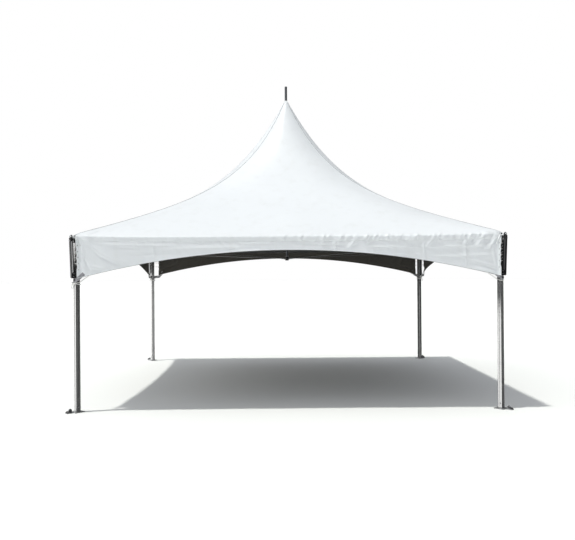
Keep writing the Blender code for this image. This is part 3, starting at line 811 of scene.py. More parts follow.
FRONT_CREASES = [
    (-2.93, 0.03, -2.74, 0.22, 0.026, 0.0150),
    (-2.74, 0.22, -2.52, 0.33, 0.026, 0.0130),
    (-2.52, 0.33, -2.30, 0.37, 0.022, 0.0080),
    (-2.88, 0.10, -2.72, 0.28, 0.020, -0.0110),
    (-2.72, 0.28, -2.48, 0.40, 0.020, -0.0090),
    (-3.01, 0.06, -2.97, 0.42, 0.013, -0.0110),
    (-2.99, 0.02, -2.93, 0.26, 0.014, 0.0120),
    (-2.96, 0.24, -2.90, 0.46, 0.014, 0.0090),
    (-2.94, 0.30, -2.84, 0.50, 0.018, -0.0100),
    (-3.00, 0.34, -2.90, 0.54, 0.016, 0.0110),
    (-2.88, 0.42, -2.60, 0.48, 0.018, 0.0100),
    (-2.86, 0.50, -2.55, 0.46, 0.014, -0.0070),
    (-2.95, 0.05, -2.70, 0.10, 0.014, 0.0090),
    (-2.70, 0.10, -2.45, 0.12, 0.013, 0.0070),
    (-2.60, 0.115, -1.70, 0.125, 0.016, 0.0085),
    (-2.50, 0.16, -2.05, 0.19, 0.014, -0.0060),
    (-2.35, 0.27, -1.55, 0.235, 0.022, -0.0080),
    (-2.20, 0.06, -2.05, 0.34, 0.013, 0.0055),
    (-1.70, 0.17, -0.70, 0.150, 0.020, 0.0065),
    (-1.95, 0.05, -1.93, 0.34, 0.011, 0.0065),
    (-1.45, 0.10, -1.15, 0.115, 0.013, -0.0055),
    (-1.00, 0.19, -0.40, 0.165, 0.016, -0.0050),
    (-0.70, 0.10, -0.20, 0.105, 0.016, 0.0055),
    (0.10, 0.125, 0.90, 0.135, 0.016, -0.0055),
    (0.66, 0.03, 0.67, 0.22, 0.011, 0.0060),
    (1.93, 0.05, 1.95, 0.42, 0.011, 0.0095),
    (1.20, 0.160, 1.90, 0.165, 0.012, 0.0080),
    (2.53, 0.04, 2.55, 0.50, 0.011, 0.0095),
    (2.02, 0.17, 2.98, 0.16, 0.012, 0.0095),
    (2.10, 0.30, 2.95, 0.31, 0.012, 0.0080),
    (2.72, 0.22, 2.98, 0.225, 0.010, 0.0060),
    (2.74, 0.36, 2.99, 0.355, 0.010, 0.0065),
    (1.40, 0.27, 1.90, 0.28, 0.012, 0.0060),
    (1.98, 0.150, 2.12, -0.010, 0.018, 0.0150),
    (1.90, 0.120, 2.02, -0.010, 0.014, -0.0110),
    (2.50, 0.150, 2.64, -0.010, 0.020, 0.0160),
    (2.70, 0.170, 2.80, 0.020, 0.018, 0.0140),
    (2.62, 0.120, 2.72, -0.010, 0.014, -0.0115),
    (2.80, 0.200, 2.96, -0.010, 0.018, -0.0115),
    (2.88, 0.200, 3.02, 0.010, 0.016, 0.0170),
    (2.66, 0.50, 2.97, 0.56, 0.020, 0.0120),
    (2.60, 0.36, 2.98, 0.50, 0.018, 0.0110),
    (2.70, 0.40, 2.99, 0.54, 0.014, -0.0090),
    (2.93, 0.20, 2.975, 0.50, 0.013, 0.0110),
    (0.76, 0.030, 0.64, 0.110, 0.026, 0.0120),
    (1.01, 0.010, 0.86, 0.165, 0.028, 0.0140),
    (1.16, -0.030, 1.07, 0.060, 0.024, 0.0120),
    (1.50, -0.020, 1.40, 0.070, 0.024, 0.0100),
    (1.89, -0.020, 1.67, 0.085, 0.028, 0.0150),
    (2.88, -0.010, 2.75, 0.150, 0.026, 0.0120),
]


def other_creases(seed):
    """Creases of a side that the photograph doesn't show: the same kinds, at other places."""
    source = random.Random(seed)
    draw = source.uniform
    creases = []
    for end in (-1, 1):
        for _ in range(9):
            y = end * draw(2.50, 2.92)
            d = draw(0.00, 0.10)
            lean = end * draw(0.05, 0.20)
            height = source.choice((-1, 1, 1)) * draw(0.005, 0.011)
            width = draw(0.013, 0.024)
            creases.append((y - lean, d + draw(0.14, 0.30), y, d, width, height))
        for _ in range(4):
            y = end * draw(2.35, 2.75)
            start = (y, draw(0.26, 0.36))
            creases.append((*start, end * 2.86, 0.50, 0.020, draw(0.004, 0.009)))
    for y in (-1.93, -0.64, 0.66, 1.94):
        creases.append((y, 0.04, y + 0.01, 0.34, 0.012, 0.0050))
    for end in (-1, 1):
        level = draw(0.15, 0.18)
        creases.append((end * 1.6, level, end * 2.85, level, 0.013, 0.0060))
        creases.append((end * 0.2, level - 0.03, end * 1.3, level - 0.02, 0.018, 0.0040))
    return creases


SEEDS = {"front": 3, "right": 5, "back": 7, "left": 9}
CREASES = {side: other_creases(10 + 7 * seed) for side, seed in SEEDS.items()}
CREASES["front"] = FRONT_CREASES
BILLOWS = {side: make_waves(seed + 50, 4, 0.9, 2.6) for side, seed in SEEDS.items()}
RIPPLES = {side: make_waves(seed + 90, 5, 0.10, 0.32) for side, seed in SEEDS.items()}


def pleat_strength(side, y):
    """How hard the fold is gathered there."""
    if side == "front":
        near_left = 1 - step_between(-2.95, -2.35, y)
        return 0.50 + 0.42 * near_left + 0.66 * step_between(-0.9, 0.7, y)
    return 0.35 + 0.60 * step_between(0.9, 2.6, abs(y))


def make_pleats(side):
    """Short slanting gathers across the fold, as creases."""
    draw = random.Random(SEEDS[side] * 101).uniform
    pleats = []
    y = -3.02
    while y < 3.02:
        strength = pleat_strength(side, y) * draw(0.35, 1.0)
        length = draw(0.07, 0.17)
        lean = math.copysign(draw(0.35, 1.1), y + 0.5) * length
        top = -draw(0.02, 0.07)
        width = draw(0.016, 0.026)
        height = PLEAT * strength
        pleats.append((y, top, y - lean, top + length, width, height))
        beside = y + draw(0.026, 0.036)
        pleats.append((beside, top, beside - lean, top + 0.8 * length, 0.8 * width, -0.5 * height))
        y += draw(0.050, 0.150)
    return pleats


PLEATS = {side: make_pleats(side) for side in SIDES}


def crease_height(crease, y, d):
    y0, d0, y1, d1, width, height = crease
    dy, dd = y1 - y0, d1 - d0
    length = dy * dy + dd * dd
    u = ((y - y0) * dy + (d - d0) * dd) / length
    if u < -0.2 or u > 1.2:
        return 0.0
    off = math.hypot(y - y0 - u * dy, d - d0 - u * dd)
    if off > 3 * width:
        return 0.0
    ends = step_between(-0.2, 0.25, u) * (1 - step_between(0.75, 1.2, u))
    return height * bell(off, width) * ends


def bins_of(side):
    """The side's creases and pleats, sorted into slices along the side, to find them quickly."""
    slices = {}
    for crease in CREASES[side] + PLEATS[side]:
        low = min(crease[0], crease[2]) - 0.12
        high = max(crease[0], crease[2]) + 0.12
        for k in range(math.floor(low / 0.1), math.floor(high / 0.1) + 1):
            slices.setdefault(k, []).append(crease)
    return slices


SLICES = {side: bins_of(side) for side in SIDES}


def relief(side, y, d):
    """Outward shift of the sheet at y along the side and d below the fold."""
    reach = abs(y) / VALANCE_TOP_HALF
    height = 0.0
    for crease in SLICES[side].get(math.floor(y / 0.1), ()):
        height += crease_height(crease, y, d)
    lively = 0.35 + 0.65 * pleat_strength(side, y)
    height += RIPPLE * lively * wavy(RIPPLES[side], y, d, -1.0) * step_between(-0.10, 0.02, d)
    if d > 0:
        strip = step_between(0.0, 0.070, d) * (1 - step_between(0.080, 0.20, d))
        even = step_between(0.0, 1.6, y if side == "front" else abs(y))
        height -= HOLLOW * strip * (1.0 - 0.45 * even)
        height += BILLOW * step_between(0.08, 0.28, d) * wavy(BILLOWS[side], y, d, 0.3)
    height *= step_between(-FADE_UP, -0.02, d) if d < 0 else 1.0
    corner_end = step_between(SHEET_END, 1.0, reach)
    height *= 1.0 - corner_end * (1.0 - 0.3 * step_between(0.02, 0.10, d))
    curl = FRONT_RIGHT_CURL if side == "front" and y > 0 else CURL
    past = max((reach - SHEET_END) / (1.0 - SHEET_END), 0.0)
    height += curl * past ** 1.4 * step_between(0.02, 0.10, d)
    return max(height, -DEEPEST)


# Canopy

# Where along a side the band ends, short of the corner's arm
BAND_LIMIT = halved(0.9, 1.0, lambda along: contour(ROOF_HALF, 1.0, along)[1] < VALANCE_TOP_HALF)
CORNER_FACES = 2            # coarse faces between the band's end and the roof's corner


def column_places(finer):
    """Places along a side, from -1 to 1, where the columns of points stand."""
    count, steps = ROOF_COLUMNS * finer, CORNER_FACES * finer
    inner = [BAND_LIMIT * (-1 + 2 * j / count) for j in range(count + 1)]
    outer = [BAND_LIMIT + (1 - BAND_LIMIT) * k / steps for k in range(1, steps + 1)]
    return [-p for p in reversed(outer)] + inner + outer


def roof_lift(side, t, along):
    """The raised seam along each hip, and the small unevenness of the taut roof."""
    seam = SEAM_RISE * step_between(0.965, 0.980, abs(along)) * step_between(0.02, 0.10, t)
    slack = SLACK * math.sin(5.2 * along + 9.0 * t + SEEDS[side]) * t * (1 - t) * 4
    return seam, slack * (1 - step_between(0.90, 0.99, abs(along)))


def roof_row(side, t, places):
    """Points across the slope at t, from 0 at the peak to 1 at the fold."""
    row = []
    above = (ROOF_HALF - PEAK_RADIUS) * (1.0 - t) * 1.10
    for along in places:
        point = roof_point(t, along)
        seam, lift = roof_lift(side, t, along)
        if above < FADE_UP:
            lift += relief(side, point.y, -above) * (1 - step_between(0.955, 0.985, abs(along)))
        row.append(point + SLOPE_OUT * lift + Vector((0, 0, seam)))
    return row


def fold_rows(side, places, last):
    """Rounded fold, from the last row of the roof to the top of the band."""
    rows = []
    for u in [i / FOLD_ROWS for i in range(1, FOLD_ROWS + 1)]:
        row = []
        for start, along in zip(last, places):
            corner = roof_point(1.0, along)
            out = relief(side, corner.y, 0.0)
            end = corner - Vector((0, 0, FOLD_REACH))
            end.x += relief(side, corner.y, FOLD_REACH)
            corner = corner + FOLD_OUT * out
            row.append((1 - u) ** 2 * start + 2 * u * (1 - u) * corner + u * u * end)
        rows.append(row)
    return rows


def band_rows(side, places):
    rows = []
    for i in range(1, BAND_ROWS + 1):
        drop = FOLD_REACH + (BAND_DROP - FOLD_REACH) * i / BAND_ROWS
        row = []
        for along in places:
            x, y = contour(ROOF_HALF, 1.0, along)
            row.append(Vector((x + relief(side, y, drop), y, eave_height(along) - drop)))
        rows.append(row)
    return rows


def canopy_side(side):
    """Points and faces of one side: wide faces high up, finer ones near the fold and in the band."""
    run = ROOF_HALF - PEAK_RADIUS
    fringe = [1.0 - d / run for d in FRINGE] + [1.0 - FOLD_REACH / run]
    wide, fine = column_places(1), column_places(FINER)
    points, faces = [], []
    for i in range(ROOF_ROWS):
        t = fringe[0] * (i / (ROOF_ROWS - 1)) ** 1.30 * 0.965
        points += roof_row(side, t, wide)
    faces += [tuple(reversed(face)) for face in grid_faces(ROOF_ROWS, len(wide))]
    start = len(points)
    rows = [roof_row(side, t, fine) for t in fringe]
    rows += fold_rows(side, fine, rows[-1])
    rows += band_rows(side, fine)
    for row in rows:
        points += row
    above = start - len(wide)
    for j in range(len(wide) - 1):
        below = [start + j * FINER + k for k in range(FINER + 1)]
        faces.append((above + j + 1, above + j, *below))
    skirt = len(fringe) + 1
    for face in grid_faces(len(rows), len(fine), start):
        row, column = divmod(face[0] - start, len(fine))
        inside = CORNER_FACES * FINER <= column < len(fine) - 1 - CORNER_FACES * FINER
        if row < skirt or inside:
            faces.append(tuple(reversed(face)))
    return points, faces


def build_canopy(outer, inner):
    """One continuous sheet: four slopes, rounded folds and the band below each fold."""
    shape = Shape()
    for side in SIDES:
        shape.add(*canopy_side(side), turn_of(side))
    mesh = mesh_of("canopy", shape.points, shape.faces)
    bm = bmesh.new()
    bm.from_mesh(mesh)
    bmesh.ops.remove_doubles(bm, verts=bm.verts, dist=0.00005)
    bmesh.ops.delete(bm, geom=[v for v in bm.verts if not v.link_faces], context="VERTS")
    bmesh.ops.recalc_face_normals(bm, faces=bm.faces)
    bm.to_mesh(mesh)
    bm.free()
    mesh.shade_smooth()
    panels = [f"roof_panel_{side}" for side in SIDES]
    piece = add_piece("canopy", mesh, [outer, inner], replaced=panels)
    thicken(piece)
    return piece


# Hanging sheets

def sheet_x(side, y, z):
    """Where the outer face of a side's hanging sheet stands, in the right side's frame."""
    below = eave_height(y / ROOF_HALF) - z
    behind = LAP * (1 - step_between(BAND_DROP, BAND_DROP + 0.012, below))
    return ROOF_HALF - behind + relief(side, y, below)


def edge_top(end):
    return eave_height(end / ROOF_HALF) - FOLD_REACH


def edge_y(side, which, u):
    """Where a side's sheet ends, which is 0 or 1 for its first or last edge, u down from the fold."""
    at_fold, at_hem = SHEET_ENDS[side][which]
    z = edge_top(at_fold) + (arch_height(at_hem) - edge_top(at_fold)) * u
    inward = EDGE_HOLLOW[side] * math.sin(math.pi * u)
    if LACE_HEIGHTS[-1] < z < LACE_HEIGHTS[0]:
        pitch = (LACE_HEIGHTS[0] - LACE_HEIGHTS[-1]) / (len(LACE_HEIGHTS) - 1)
        inward += SCALLOP * abs(math.sin(math.pi * (LACE_HEIGHTS[0] - z) / pitch))
    return at_fold + (at_hem - at_fold) * u - math.copysign(inward, at_fold)


def edge_at(side, which, z):
    """The same, at a height."""
    at_fold, at_hem = SHEET_ENDS[side][which]
    top = edge_top(at_fold)
    return edge_y(side, which, min(max((top - z) / (top - arch_height(at_hem)), 0.0), 1.0))


def build_hanging(side, outer, inner):
    """The hanging sheet of one side, tucked behind the band and cut to an arch below."""
    points = []
    for i in range(VALANCE_ROWS):
        u = i / (VALANCE_ROWS - 1)
        first, last = edge_y(side, 0, u), edge_y(side, 1, u)
        for j in range(VALANCE_COLUMNS):
            y = first + (last - first) * j / (VALANCE_COLUMNS - 1)
            top = edge_top(y)
            z = top + (arch_height(y) - top) * u
            points.append((sheet_x(side, y, z), y, z))
    faces = grid_faces(VALANCE_ROWS, VALANCE_COLUMNS, flipped=True)
    mesh = mesh_of(f"hanging_{side}", points, faces)
    piece = add_piece(
        f"hanging_{side}", mesh, [outer, inner], turn_of(side), [f"valance_{side}"]
    )
    thicken(piece)
    return piece


def build_hem(side, outer, inner, darkened):
    """The roped hem along the arch, with painted shade on the rope's underside and a flat allowance
    behind it, dark inside as painted shade.
    """
    first, last = edge_y(side, 0, 1.0), edge_y(side, 1, 1.0)
    path, sections = [], []
    for j in range(HEM_COUNT + 1):
        y = first + (last - first) * j / HEM_COUNT
        z = arch_height(y)
        path.append((sheet_x(side, y, z) - CLOTH / 2, y, z + 0.001))
        front = [(sheet_x(side, y, z + up) - CLOTH - 0.0008, y, z + up) for up in HEM_STEPS]
        back = [(x - HEM_ALLOWANCE, y, height) for x, y, height in reversed(front)]
        sections.append(front + back)
    mesh = Shape().tube(path, HEM_RADIUS, 10, up=(1, 0, 0)).skin(sections).mesh(f"roped_hem_{side}", 60)
    piece = add_piece(f"roped_hem_{side}", mesh, [outer, inner, darkened])
    for face in mesh.polygons:
        outside = sheet_x(side, face.center.y, face.center.z) - CLOTH
        # Rope faces that face downward take the third material, a dark grey that is painted shade
        below = 2 if face.normal.z < SHADE_BELOW else 0
        face.material_index = below if face.center.x > outside else 1
    mesh.transform(turn_of(side))
    return piece


def build_side_hems(side, fabric, metal):
    """Doubled edges of a hanging sheet, with their eyelets."""
    hems, rings = Shape(), Shape()
    width = SIDE_HEM[0]
    for which in (0, 1):
        end = SHEET_ENDS[side][which][1]
        inward = -math.copysign(1, end)
        top = EAVE_Z - BAND_DROP - 0.004
        path, wide = [], []
        for k in range(SIDE_HEM_STEPS + 1):
            z = top + (arch_height(end) + 0.008 - top) * k / SIDE_HEM_STEPS
            y = edge_at(side, which, z)
            outer, inner = sheet_x(side, y, z), sheet_x(side, y + inward * width, z)
            path.append(((outer + inner) / 2 + 0.0006, y + inward * width / 2, z))
            wide.append((inner - outer, inward * width, 0.0))
        hems.ribbon(path, SIDE_HEM, wide)
        for z in LACE_HEIGHTS:
            y = edge_at(side, which, z) + inward * LACE_INSET
            place = facing((sheet_x(side, y, z) + 0.0016, y, z), (1, 0, 0))
            rings.ring(0.0085, 0.0020, place)
            rings.lathe([(0.0068, -0.0012), (0.0072, 0.0004)], 20, place, 0.0005)
    sewn = add_shape(f"side_hems_{side}", hems, 60, fabric, turn_of(side))
    return sewn, add_shape(f"eyelets_{side}", rings, 40, metal, turn_of(side))


# Corners, with the leg's axis at the origin and the outward diagonal along +X. At each corner
# one side ends, and its hand is -1, and one side starts, and its hand is 1.

CORNER_ENDS = {
    "back_right": (("right", -1), ("back", 1)),
    "back_left": (("back", -1), ("left", 1)),
    "front_left": (("left", -1), ("front", 1)),
    "front_right": (("front", -1), ("right", 1)),
}


def from_side(x, y, z, hand):
    """A point of a side's frame, in the corner's frame."""
    y = abs(y)
    return Vector(((x + y) / math.sqrt(2) - DIAGONAL, hand * (x - y) / math.sqrt(2), z))


def sheet_end(side, hand, z):
    """How far from its middle a side's sheet ends towards the corner, at a height."""
    return edge_at(side, 1, z) if hand < 0 else -edge_at(side, 0, z)


def on_sheet(side, hand, y, z, proud):
    """A point on a side's hanging sheet, y along it from the middle, in the corner's frame."""
    return from_side(sheet_x(side, -hand * y, z) + proud, y, z, hand)


def arm_place(height):
    """A matrix on the corner arm's axis, at a height along it, with Z along the arm."""
    lean = math.asin((ARM_TOP_OUT - ARM_FOOT_OUT) / ARM_LENGTH)
    lift = ARM_SIZE / 2 * math.sin(lean) + CLEARANCE
    foot = Matrix.Translation((ARM_FOOT_OUT, 0, ARM_FOOT_Z + lift))
    return foot @ Matrix.Rotation(lean, 4, "Y") @ Matrix.Translation((0, 0, height))


def lace_stop(side, hand, z):
    """Points of the lacing through one eyelet, from inside, out and over the sheet's edge."""
    end = sheet_end(side, hand, z)
    y = end - LACE_INSET
    return [
        on_sheet(side, hand, y - 0.001, z, -0.0085),
        on_sheet(side, hand, y, z, 0.0006),
        on_sheet(side, hand, y + 0.005, z - 0.001, 0.0062),
        on_sheet(side, hand, end + 0.001, z - 0.003, 0.0052),
        on_sheet(side, hand, end + 0.007, z - 0.005, -0.0030),
    ]


def knot_path(centre, size, turn=0.0):
    """A small closed knot, as a trefoil."""
    points = []
    for k in range(37):
        a = 2 * math.pi * k / 36
        x = (math.sin(a) + 2 * math.sin(2 * a)) / 3
        y = (math.cos(a) - 2 * math.cos(2 * a)) / 3
        spot = Matrix.Rotation(turn, 3, "Z") @ Vector((-math.sin(3 * a) * 0.6, x, y))
        points.append(Vector(centre) + spot * size)
    return points


def corner_lacing(corner):
    """One cord that laces both sheets' edges together, round the outer face of the leg."""
    stops = [(z, *end) for z in LACE_HEIGHTS[:LACED] for end in CORNER_ENDS[corner]]
    out = PROFILE / 2 + LACE_RADIUS + 0.0008
    near = out - 0.008
    crossing = ((0.35, near, out), (0.42, out, near), (0.58, out, -near), (0.65, near, -out))
    path = []
    for i, (z, side, hand) in enumerate(stops):
        path += lace_stop(side, hand, z)
        if i + 1 < len(stops):
            rise = stops[i + 1][0] - z
            path += [Vector((x, hand * y, z + rise * share)) for share, x, y in crossing]
    shape = Shape().tube(even_path(smooth_path(path, 4), 0.006), LACE_RADIUS, 8, LACE_TWIST)
    for end in (path[0], path[-1]):
        shape.tube(knot_path(end, LACE_KNOT), LACE_RADIUS, 8)
    return shape


def corner_tab(corner):
    """Grey webbing from both sheets' lower corners, round the leg under the shoe."""
    halves = []
    for side, hand in CORNER_ENDS[corner]:
        end = sheet_end(side, hand, LACE_HEIGHTS[-1])
        proud = 0.0026 if (side, hand) != TAB_BEHIND else -CLOTH - 0.0125
        top = arch_height(end - TAB_LENGTH) + TAB_RISE
        half = []
        for u in [k / 8 for k in range(9)]:
            y = end - TAB_LENGTH * (1 - u) - 0.010 * u
            half.append(on_sheet(side, hand, y, top + (TAB_Z + 0.015 - top) * u, proud))
        leg_edge = Vector((TAB_OUT - 0.006, hand * (TAB_OUT + 0.0004), TAB_Z + 0.004))
        leg_face = Vector((TAB_OUT, hand * (TAB_OUT - 0.006), TAB_Z))
        halves.append(half + [half[-1].lerp(leg_edge, 0.5), leg_edge, leg_face])
    path = halves[0] + [Vector((TAB_OUT, 0, TAB_Z))] + halves[1][::-1]
    return Shape().ribbon(even_path(path, 0.008), TAB_SIZE)


def tab_buckle():
    """A three-bar slide on the tab, on the leg's outer face."""
    shape = Shape()
    spot = Vector((TAB_OUT + 0.0046, 0.004, TAB_Z))
    for z in (-0.0125, 0.0125):
        shape.block((0.005, 0.046, 0.004), Matrix.Translation(spot + Vector((0, 0, z))))
    for y in (-0.021, 0.0, 0.021):
        shape.block((0.005, 0.004, 0.026), Matrix.Translation(spot + Vector((0, y, 0))))
    return shape


def rope_half(side, hand):
    """The rope from one sheet's hem to the middle of the leg's outer face."""
    clear = ROPE_RADIUS + 0.0005
    inner = PROFILE / 2 - ROPE_ROUND
    start = ROPE_START * VALANCE_BOTTOM_HALF
    hem = on_sheet(side, hand, start, arch_height(start), -0.0008)
    half = [
        hem + Vector((0, 0, 0.002)),
        hem + Vector((0.006, -hand * 0.006, -0.004)),
        Vector((-inner, hand * (PROFILE / 2 + clear), ROPE_LEG_Z + 0.012)),
    ]
    for a in [math.radians(90 - 18 * k) for k in range(6)]:
        x = inner + (ROPE_ROUND + clear) * math.cos(a)
        y = inner + (ROPE_ROUND + clear) * math.sin(a)
        half.append(Vector((x, hand * y, ROPE_LEG_Z)))
    return half


def rope_turns(count):
    """More turns of the rope round the leg, below the first."""
    turns = []
    for k in range(count * 32 + 1):
        a = 2 * math.pi * k / 32 + 0.4
        reach = 0.0440 / max(abs(math.cos(a)), abs(math.sin(a)), 0.78)
        reach += 0.007 * max(math.cos(a - 5.2), 0.0) ** 3
        z = ROPE_LEG_Z - 0.013 - 0.0125 * k / 32 + 0.003 * math.sin(2 * a)
        turns.append((reach * math.cos(a), reach * math.sin(a), z))
    return smooth_path(turns, 3)


def tied_rope(corner):
    """The rope from hem to hem round the leg, its further turns, and a knot with its tails."""
    first, second = [rope_half(side, hand) for side, hand in CORNER_ENDS[corner]]
    count = ROPE_TURNS[corner]
    shape = Shape().tube(even_path(first + second[::-1], 0.006), ROPE_RADIUS, 12, ROPE_TWIST)
    if not count:
        return shape
    knot = Vector((PROFILE / 2 + 0.0125, -0.030, ROPE_LEG_Z + 0.004))
    shape.tube(even_path(rope_turns(count), 0.005), ROPE_RADIUS, 12, ROPE_TWIST)
    shape.tube(even_path(knot_path(knot, ROPE_KNOT, 0.3), 0.004), ROPE_RADIUS, 12, ROPE_TWIST)
    for reach, drop in ROPE_TAILS[:count]:
        bends = ((0, 0, 0), (0.006, reach * 0.3, -0.02), (0.004, reach, -drop * 0.6))
        tail = [knot + Vector(bend) for bend in (*bends, (0.000, reach * 1.1, -drop))]
        tail = even_path(smooth_path(tail, 6), 0.005)
        shape.tube(tail, ROPE_RADIUS * 0.92, 12, ROPE_TWIST)
        whipped = [tail[-1] + Vector((0, 0, 0.010)), tail[-1] - Vector((0, 0, 0.002))]
        shape.tube(whipped, ROPE_RADIUS * 1.25, 12)
    return shape


def roof_top(reach):
    """Height of the canopy's upper face on the diagonal, at a distance from the roof's corner."""
    distance = roof_point(1.0, 1.0).xy.length - reach
    return roof_point(halved(0.5, 1.0, lambda t: roof_point(t, 1.0).xy.length < distance), 1.0).z


def corner_strap(corner):
    """White webbing from the roof's corner, through the arm's eye and back, and its two tails."""
    corner_x = roof_point(1.0, 1.0).xy.length - DIAGONAL
    eye = arm_place(ARM_LENGTH + EYE_HEIGHT).translation
    runs = []
    for (first, last, proud), count in ((STRAP_UNDER, 7), (STRAP_OVER, 5)):
        reaches = [first + (last - first) * k / count for k in range(count + 1)]
        runs.append([(corner_x - reach, 0, roof_top(reach) + proud) for reach in reaches])
    loop = [(eye.x + out, 0, eye.z + up) for out, up in STRAP_LOOP]
    path = even_path(smooth_path(runs[0] + loop + runs[1], 4), 0.004)
    shape = Shape().ribbon(path, STRAP_SIZE, (0, 1, 0))
    for side, hand in CORNER_ENDS[corner]:
        depth, end_y = STRAP_TAILS[side]
        fold = eave_height(end_y / ROOF_HALF)
        last_x = ROOF_HALF + relief(side, -hand * end_y, depth) + 0.0090
        last = from_side(last_x, end_y, fold - depth, hand)
        middle = from_side(ROOF_HALF + 0.0120, end_y + 0.050, fold - depth * 0.25, hand)
        first = Vector((eye.x - 0.012, hand * 0.004, eye.z - 0.0062))
        tail = [first, first.lerp(middle, 0.45), middle, middle.lerp(last, 0.5), last]
        tail = even_path(smooth_path(tail, 6), 0.006)
        lean = from_side(-STRAP_TILT, 0, 0, hand) - from_side(0, 0, 0, hand)
        tilted = lean + Vector((0, 0, 1))
        shares = [min(2.2 * k / len(tail), 1.0) for k in range(len(tail))]
        shape.ribbon(tail, STRAP_SIZE, [Vector((0, 1, 0)).lerp(tilted, u) for u in shares])
    return shape


def corner_patch(corner):
    """The second layer of cloth on the roof's corner."""
    shape = Shape()
    count = PATCH_STEPS + 1
    down, along = [[first + span * k / PATCH_STEPS for k in range(count)] for first, span in PATCH]
    for side, hand in CORNER_ENDS[corner]:
        places = [-hand * place for place in along]
        points = []
        for t in down:
            for point in roof_row(side, t, places):
                points.append(from_side(point.x, point.y, point.z + PATCH_PROUD, hand))
        shape.add(points, grid_faces(count, count, flipped=hand > 0))
    return shape


def hip_seam():
    """The piped seam down the roof's hip."""
    path = []
    for k in range(121):
        point = roof_point(0.006 + 0.990 * k / 120, 1.0)
        path.append((point.xy.length - DIAGONAL, 0, point.z + PIPING_PROUD))
    return Shape().tube(path, PIPING_RADIUS, 8, up=(0, 1, 0))


def arm_trim():
    """Rails on the arm's sides with their screws, and the bolts of the arm and the shoe."""
    rails, bolts = Shape(), Shape()
    screw = [(0.0003, 0), (0.0042, 0), (0.0036, 0.0016), (0.0018, 0.0024), (0.0003, 0.0026)]
    for hand in (-1, 1):
        side = (0, hand, 0)
        spot = Matrix.Translation((RAIL_X, hand * (ARM_SIZE / 2 - 0.0006), 0))
        rails.block(RAIL_SIZE, arm_place(RAIL_MIDDLE) @ spot, 0.0010)
        face = facing((RAIL_X, hand * (ARM_SIZE / 2 + 0.0014), 0), side)
        for height in RAIL_SCREWS:
            rails.lathe(screw, 14, arm_place(height) @ face)
        for z in SHOE_BOLT_Z:
            bolts.bolt(SHOE_BOLT, facing((0.0585, hand * 0.0268, z), side))
    bolts.bolt(ARM_BOLT, arm_place(ARM_BOLT_HEIGHT) @ facing((ARM_SIZE / 2, 0, 0), (1, 0, 0)))
    return rails, bolts


def leg_bolts():
    """Bolts through the leg's foot, and through its top into the bracket."""
    shape = Shape()
    half = PROFILE / 2
    for x, y, z in LEG_BOLTS:
        shape.bolt(BOLT, facing((x * half, y * half, z), (x, y, 0)))
    return shape


def weld_beads():
    """Weld beads round the leg's foot and the upright lug."""
    half, radius = 0.0365, 0.008
    foot = []
    for turn, (sx, sy) in enumerate(((1, 1), (-1, 1), (-1, -1), (1, -1))):
        for k in range(5):
            a = math.radians(90 * turn) + math.radians(22.5 * k)
            x = sx * (half - radius) + radius * math.cos(a)
            foot.append((x, sy * (half - radius) + radius * math.sin(a), 0.0118))
    near, far, wide, z = 0.0885, 0.1415, 0.0062, 0.0108
    lug = [(near, -wide, z), (far, -wide, z), (far, wide, z), (near, wide, z), (near, -wide, z)]
    shape = Shape().tube(even_path(foot + foot[:1], 0.004), 0.0030, 8, FOOT_WELD)
    return shape.tube(even_path(lug, 0.004), 0.0026, 8, LUG_WELD)


def bow_shackle():
    """A rounder bow shackle, where the source's shackle lies."""
    lug_out, hole_z, hole_radius = 0.115, 0.038, 0.009
    rod, pin, half, straight = 0.006, 0.007, 0.022, 0.045
    pin_z = hole_z - (hole_radius * math.cos(math.pi / 16) - pin - CLEARANCE)
    drop = pin_z - (0.010 + rod + CLEARANCE)
    tilt = math.asin(drop / (straight + half))
    place = Matrix.Translation((lug_out, 0, pin_z)) @ Matrix.Rotation(tilt, 4, "Y")
    bow = [(0, -half, 0)]
    for a in [math.radians(-90 + 9 * k) for k in range(21)]:
        bow.append((straight + half * math.cos(a), half * math.sin(a), 0))
    bow.append((0, half, 0))
    shape = Shape().tube([place @ Vector(p) for p in even_path(bow, 0.004)], rod, 14)
    eye = [(0.0102, -0.006), (0.0110, -0.0045), (0.0110, 0.0045), (0.0102, 0.006)]
    for hand in (-1, 1):
        shape.lathe(eye, 24, place @ facing((0, hand * half, 0), (0, hand, 0)), 0.0071)
    bar = [(0.0062, 0), (0.0070, 0.001), (0.0070, 0.053), (0.0062, 0.054)]
    head = [(0.0105, 0), (0.0105, 0.004), (0.0090, 0.0050)]
    shape.lathe(bar, 24, place @ facing((0, -half - 0.010, 0), (0, 1, 0)), 0.0003)
    shape.lathe(head, 6, place @ facing((0, half + 0.006, 0), (0, 1, 0)), 0.0003)
    cotter = facing((0, -half - 0.0095, 0), (0, 0.6, 0.8))
    return shape.ring(0.0050, 0.0011, place @ cotter, 18, 6)


# Mast, cables and beams

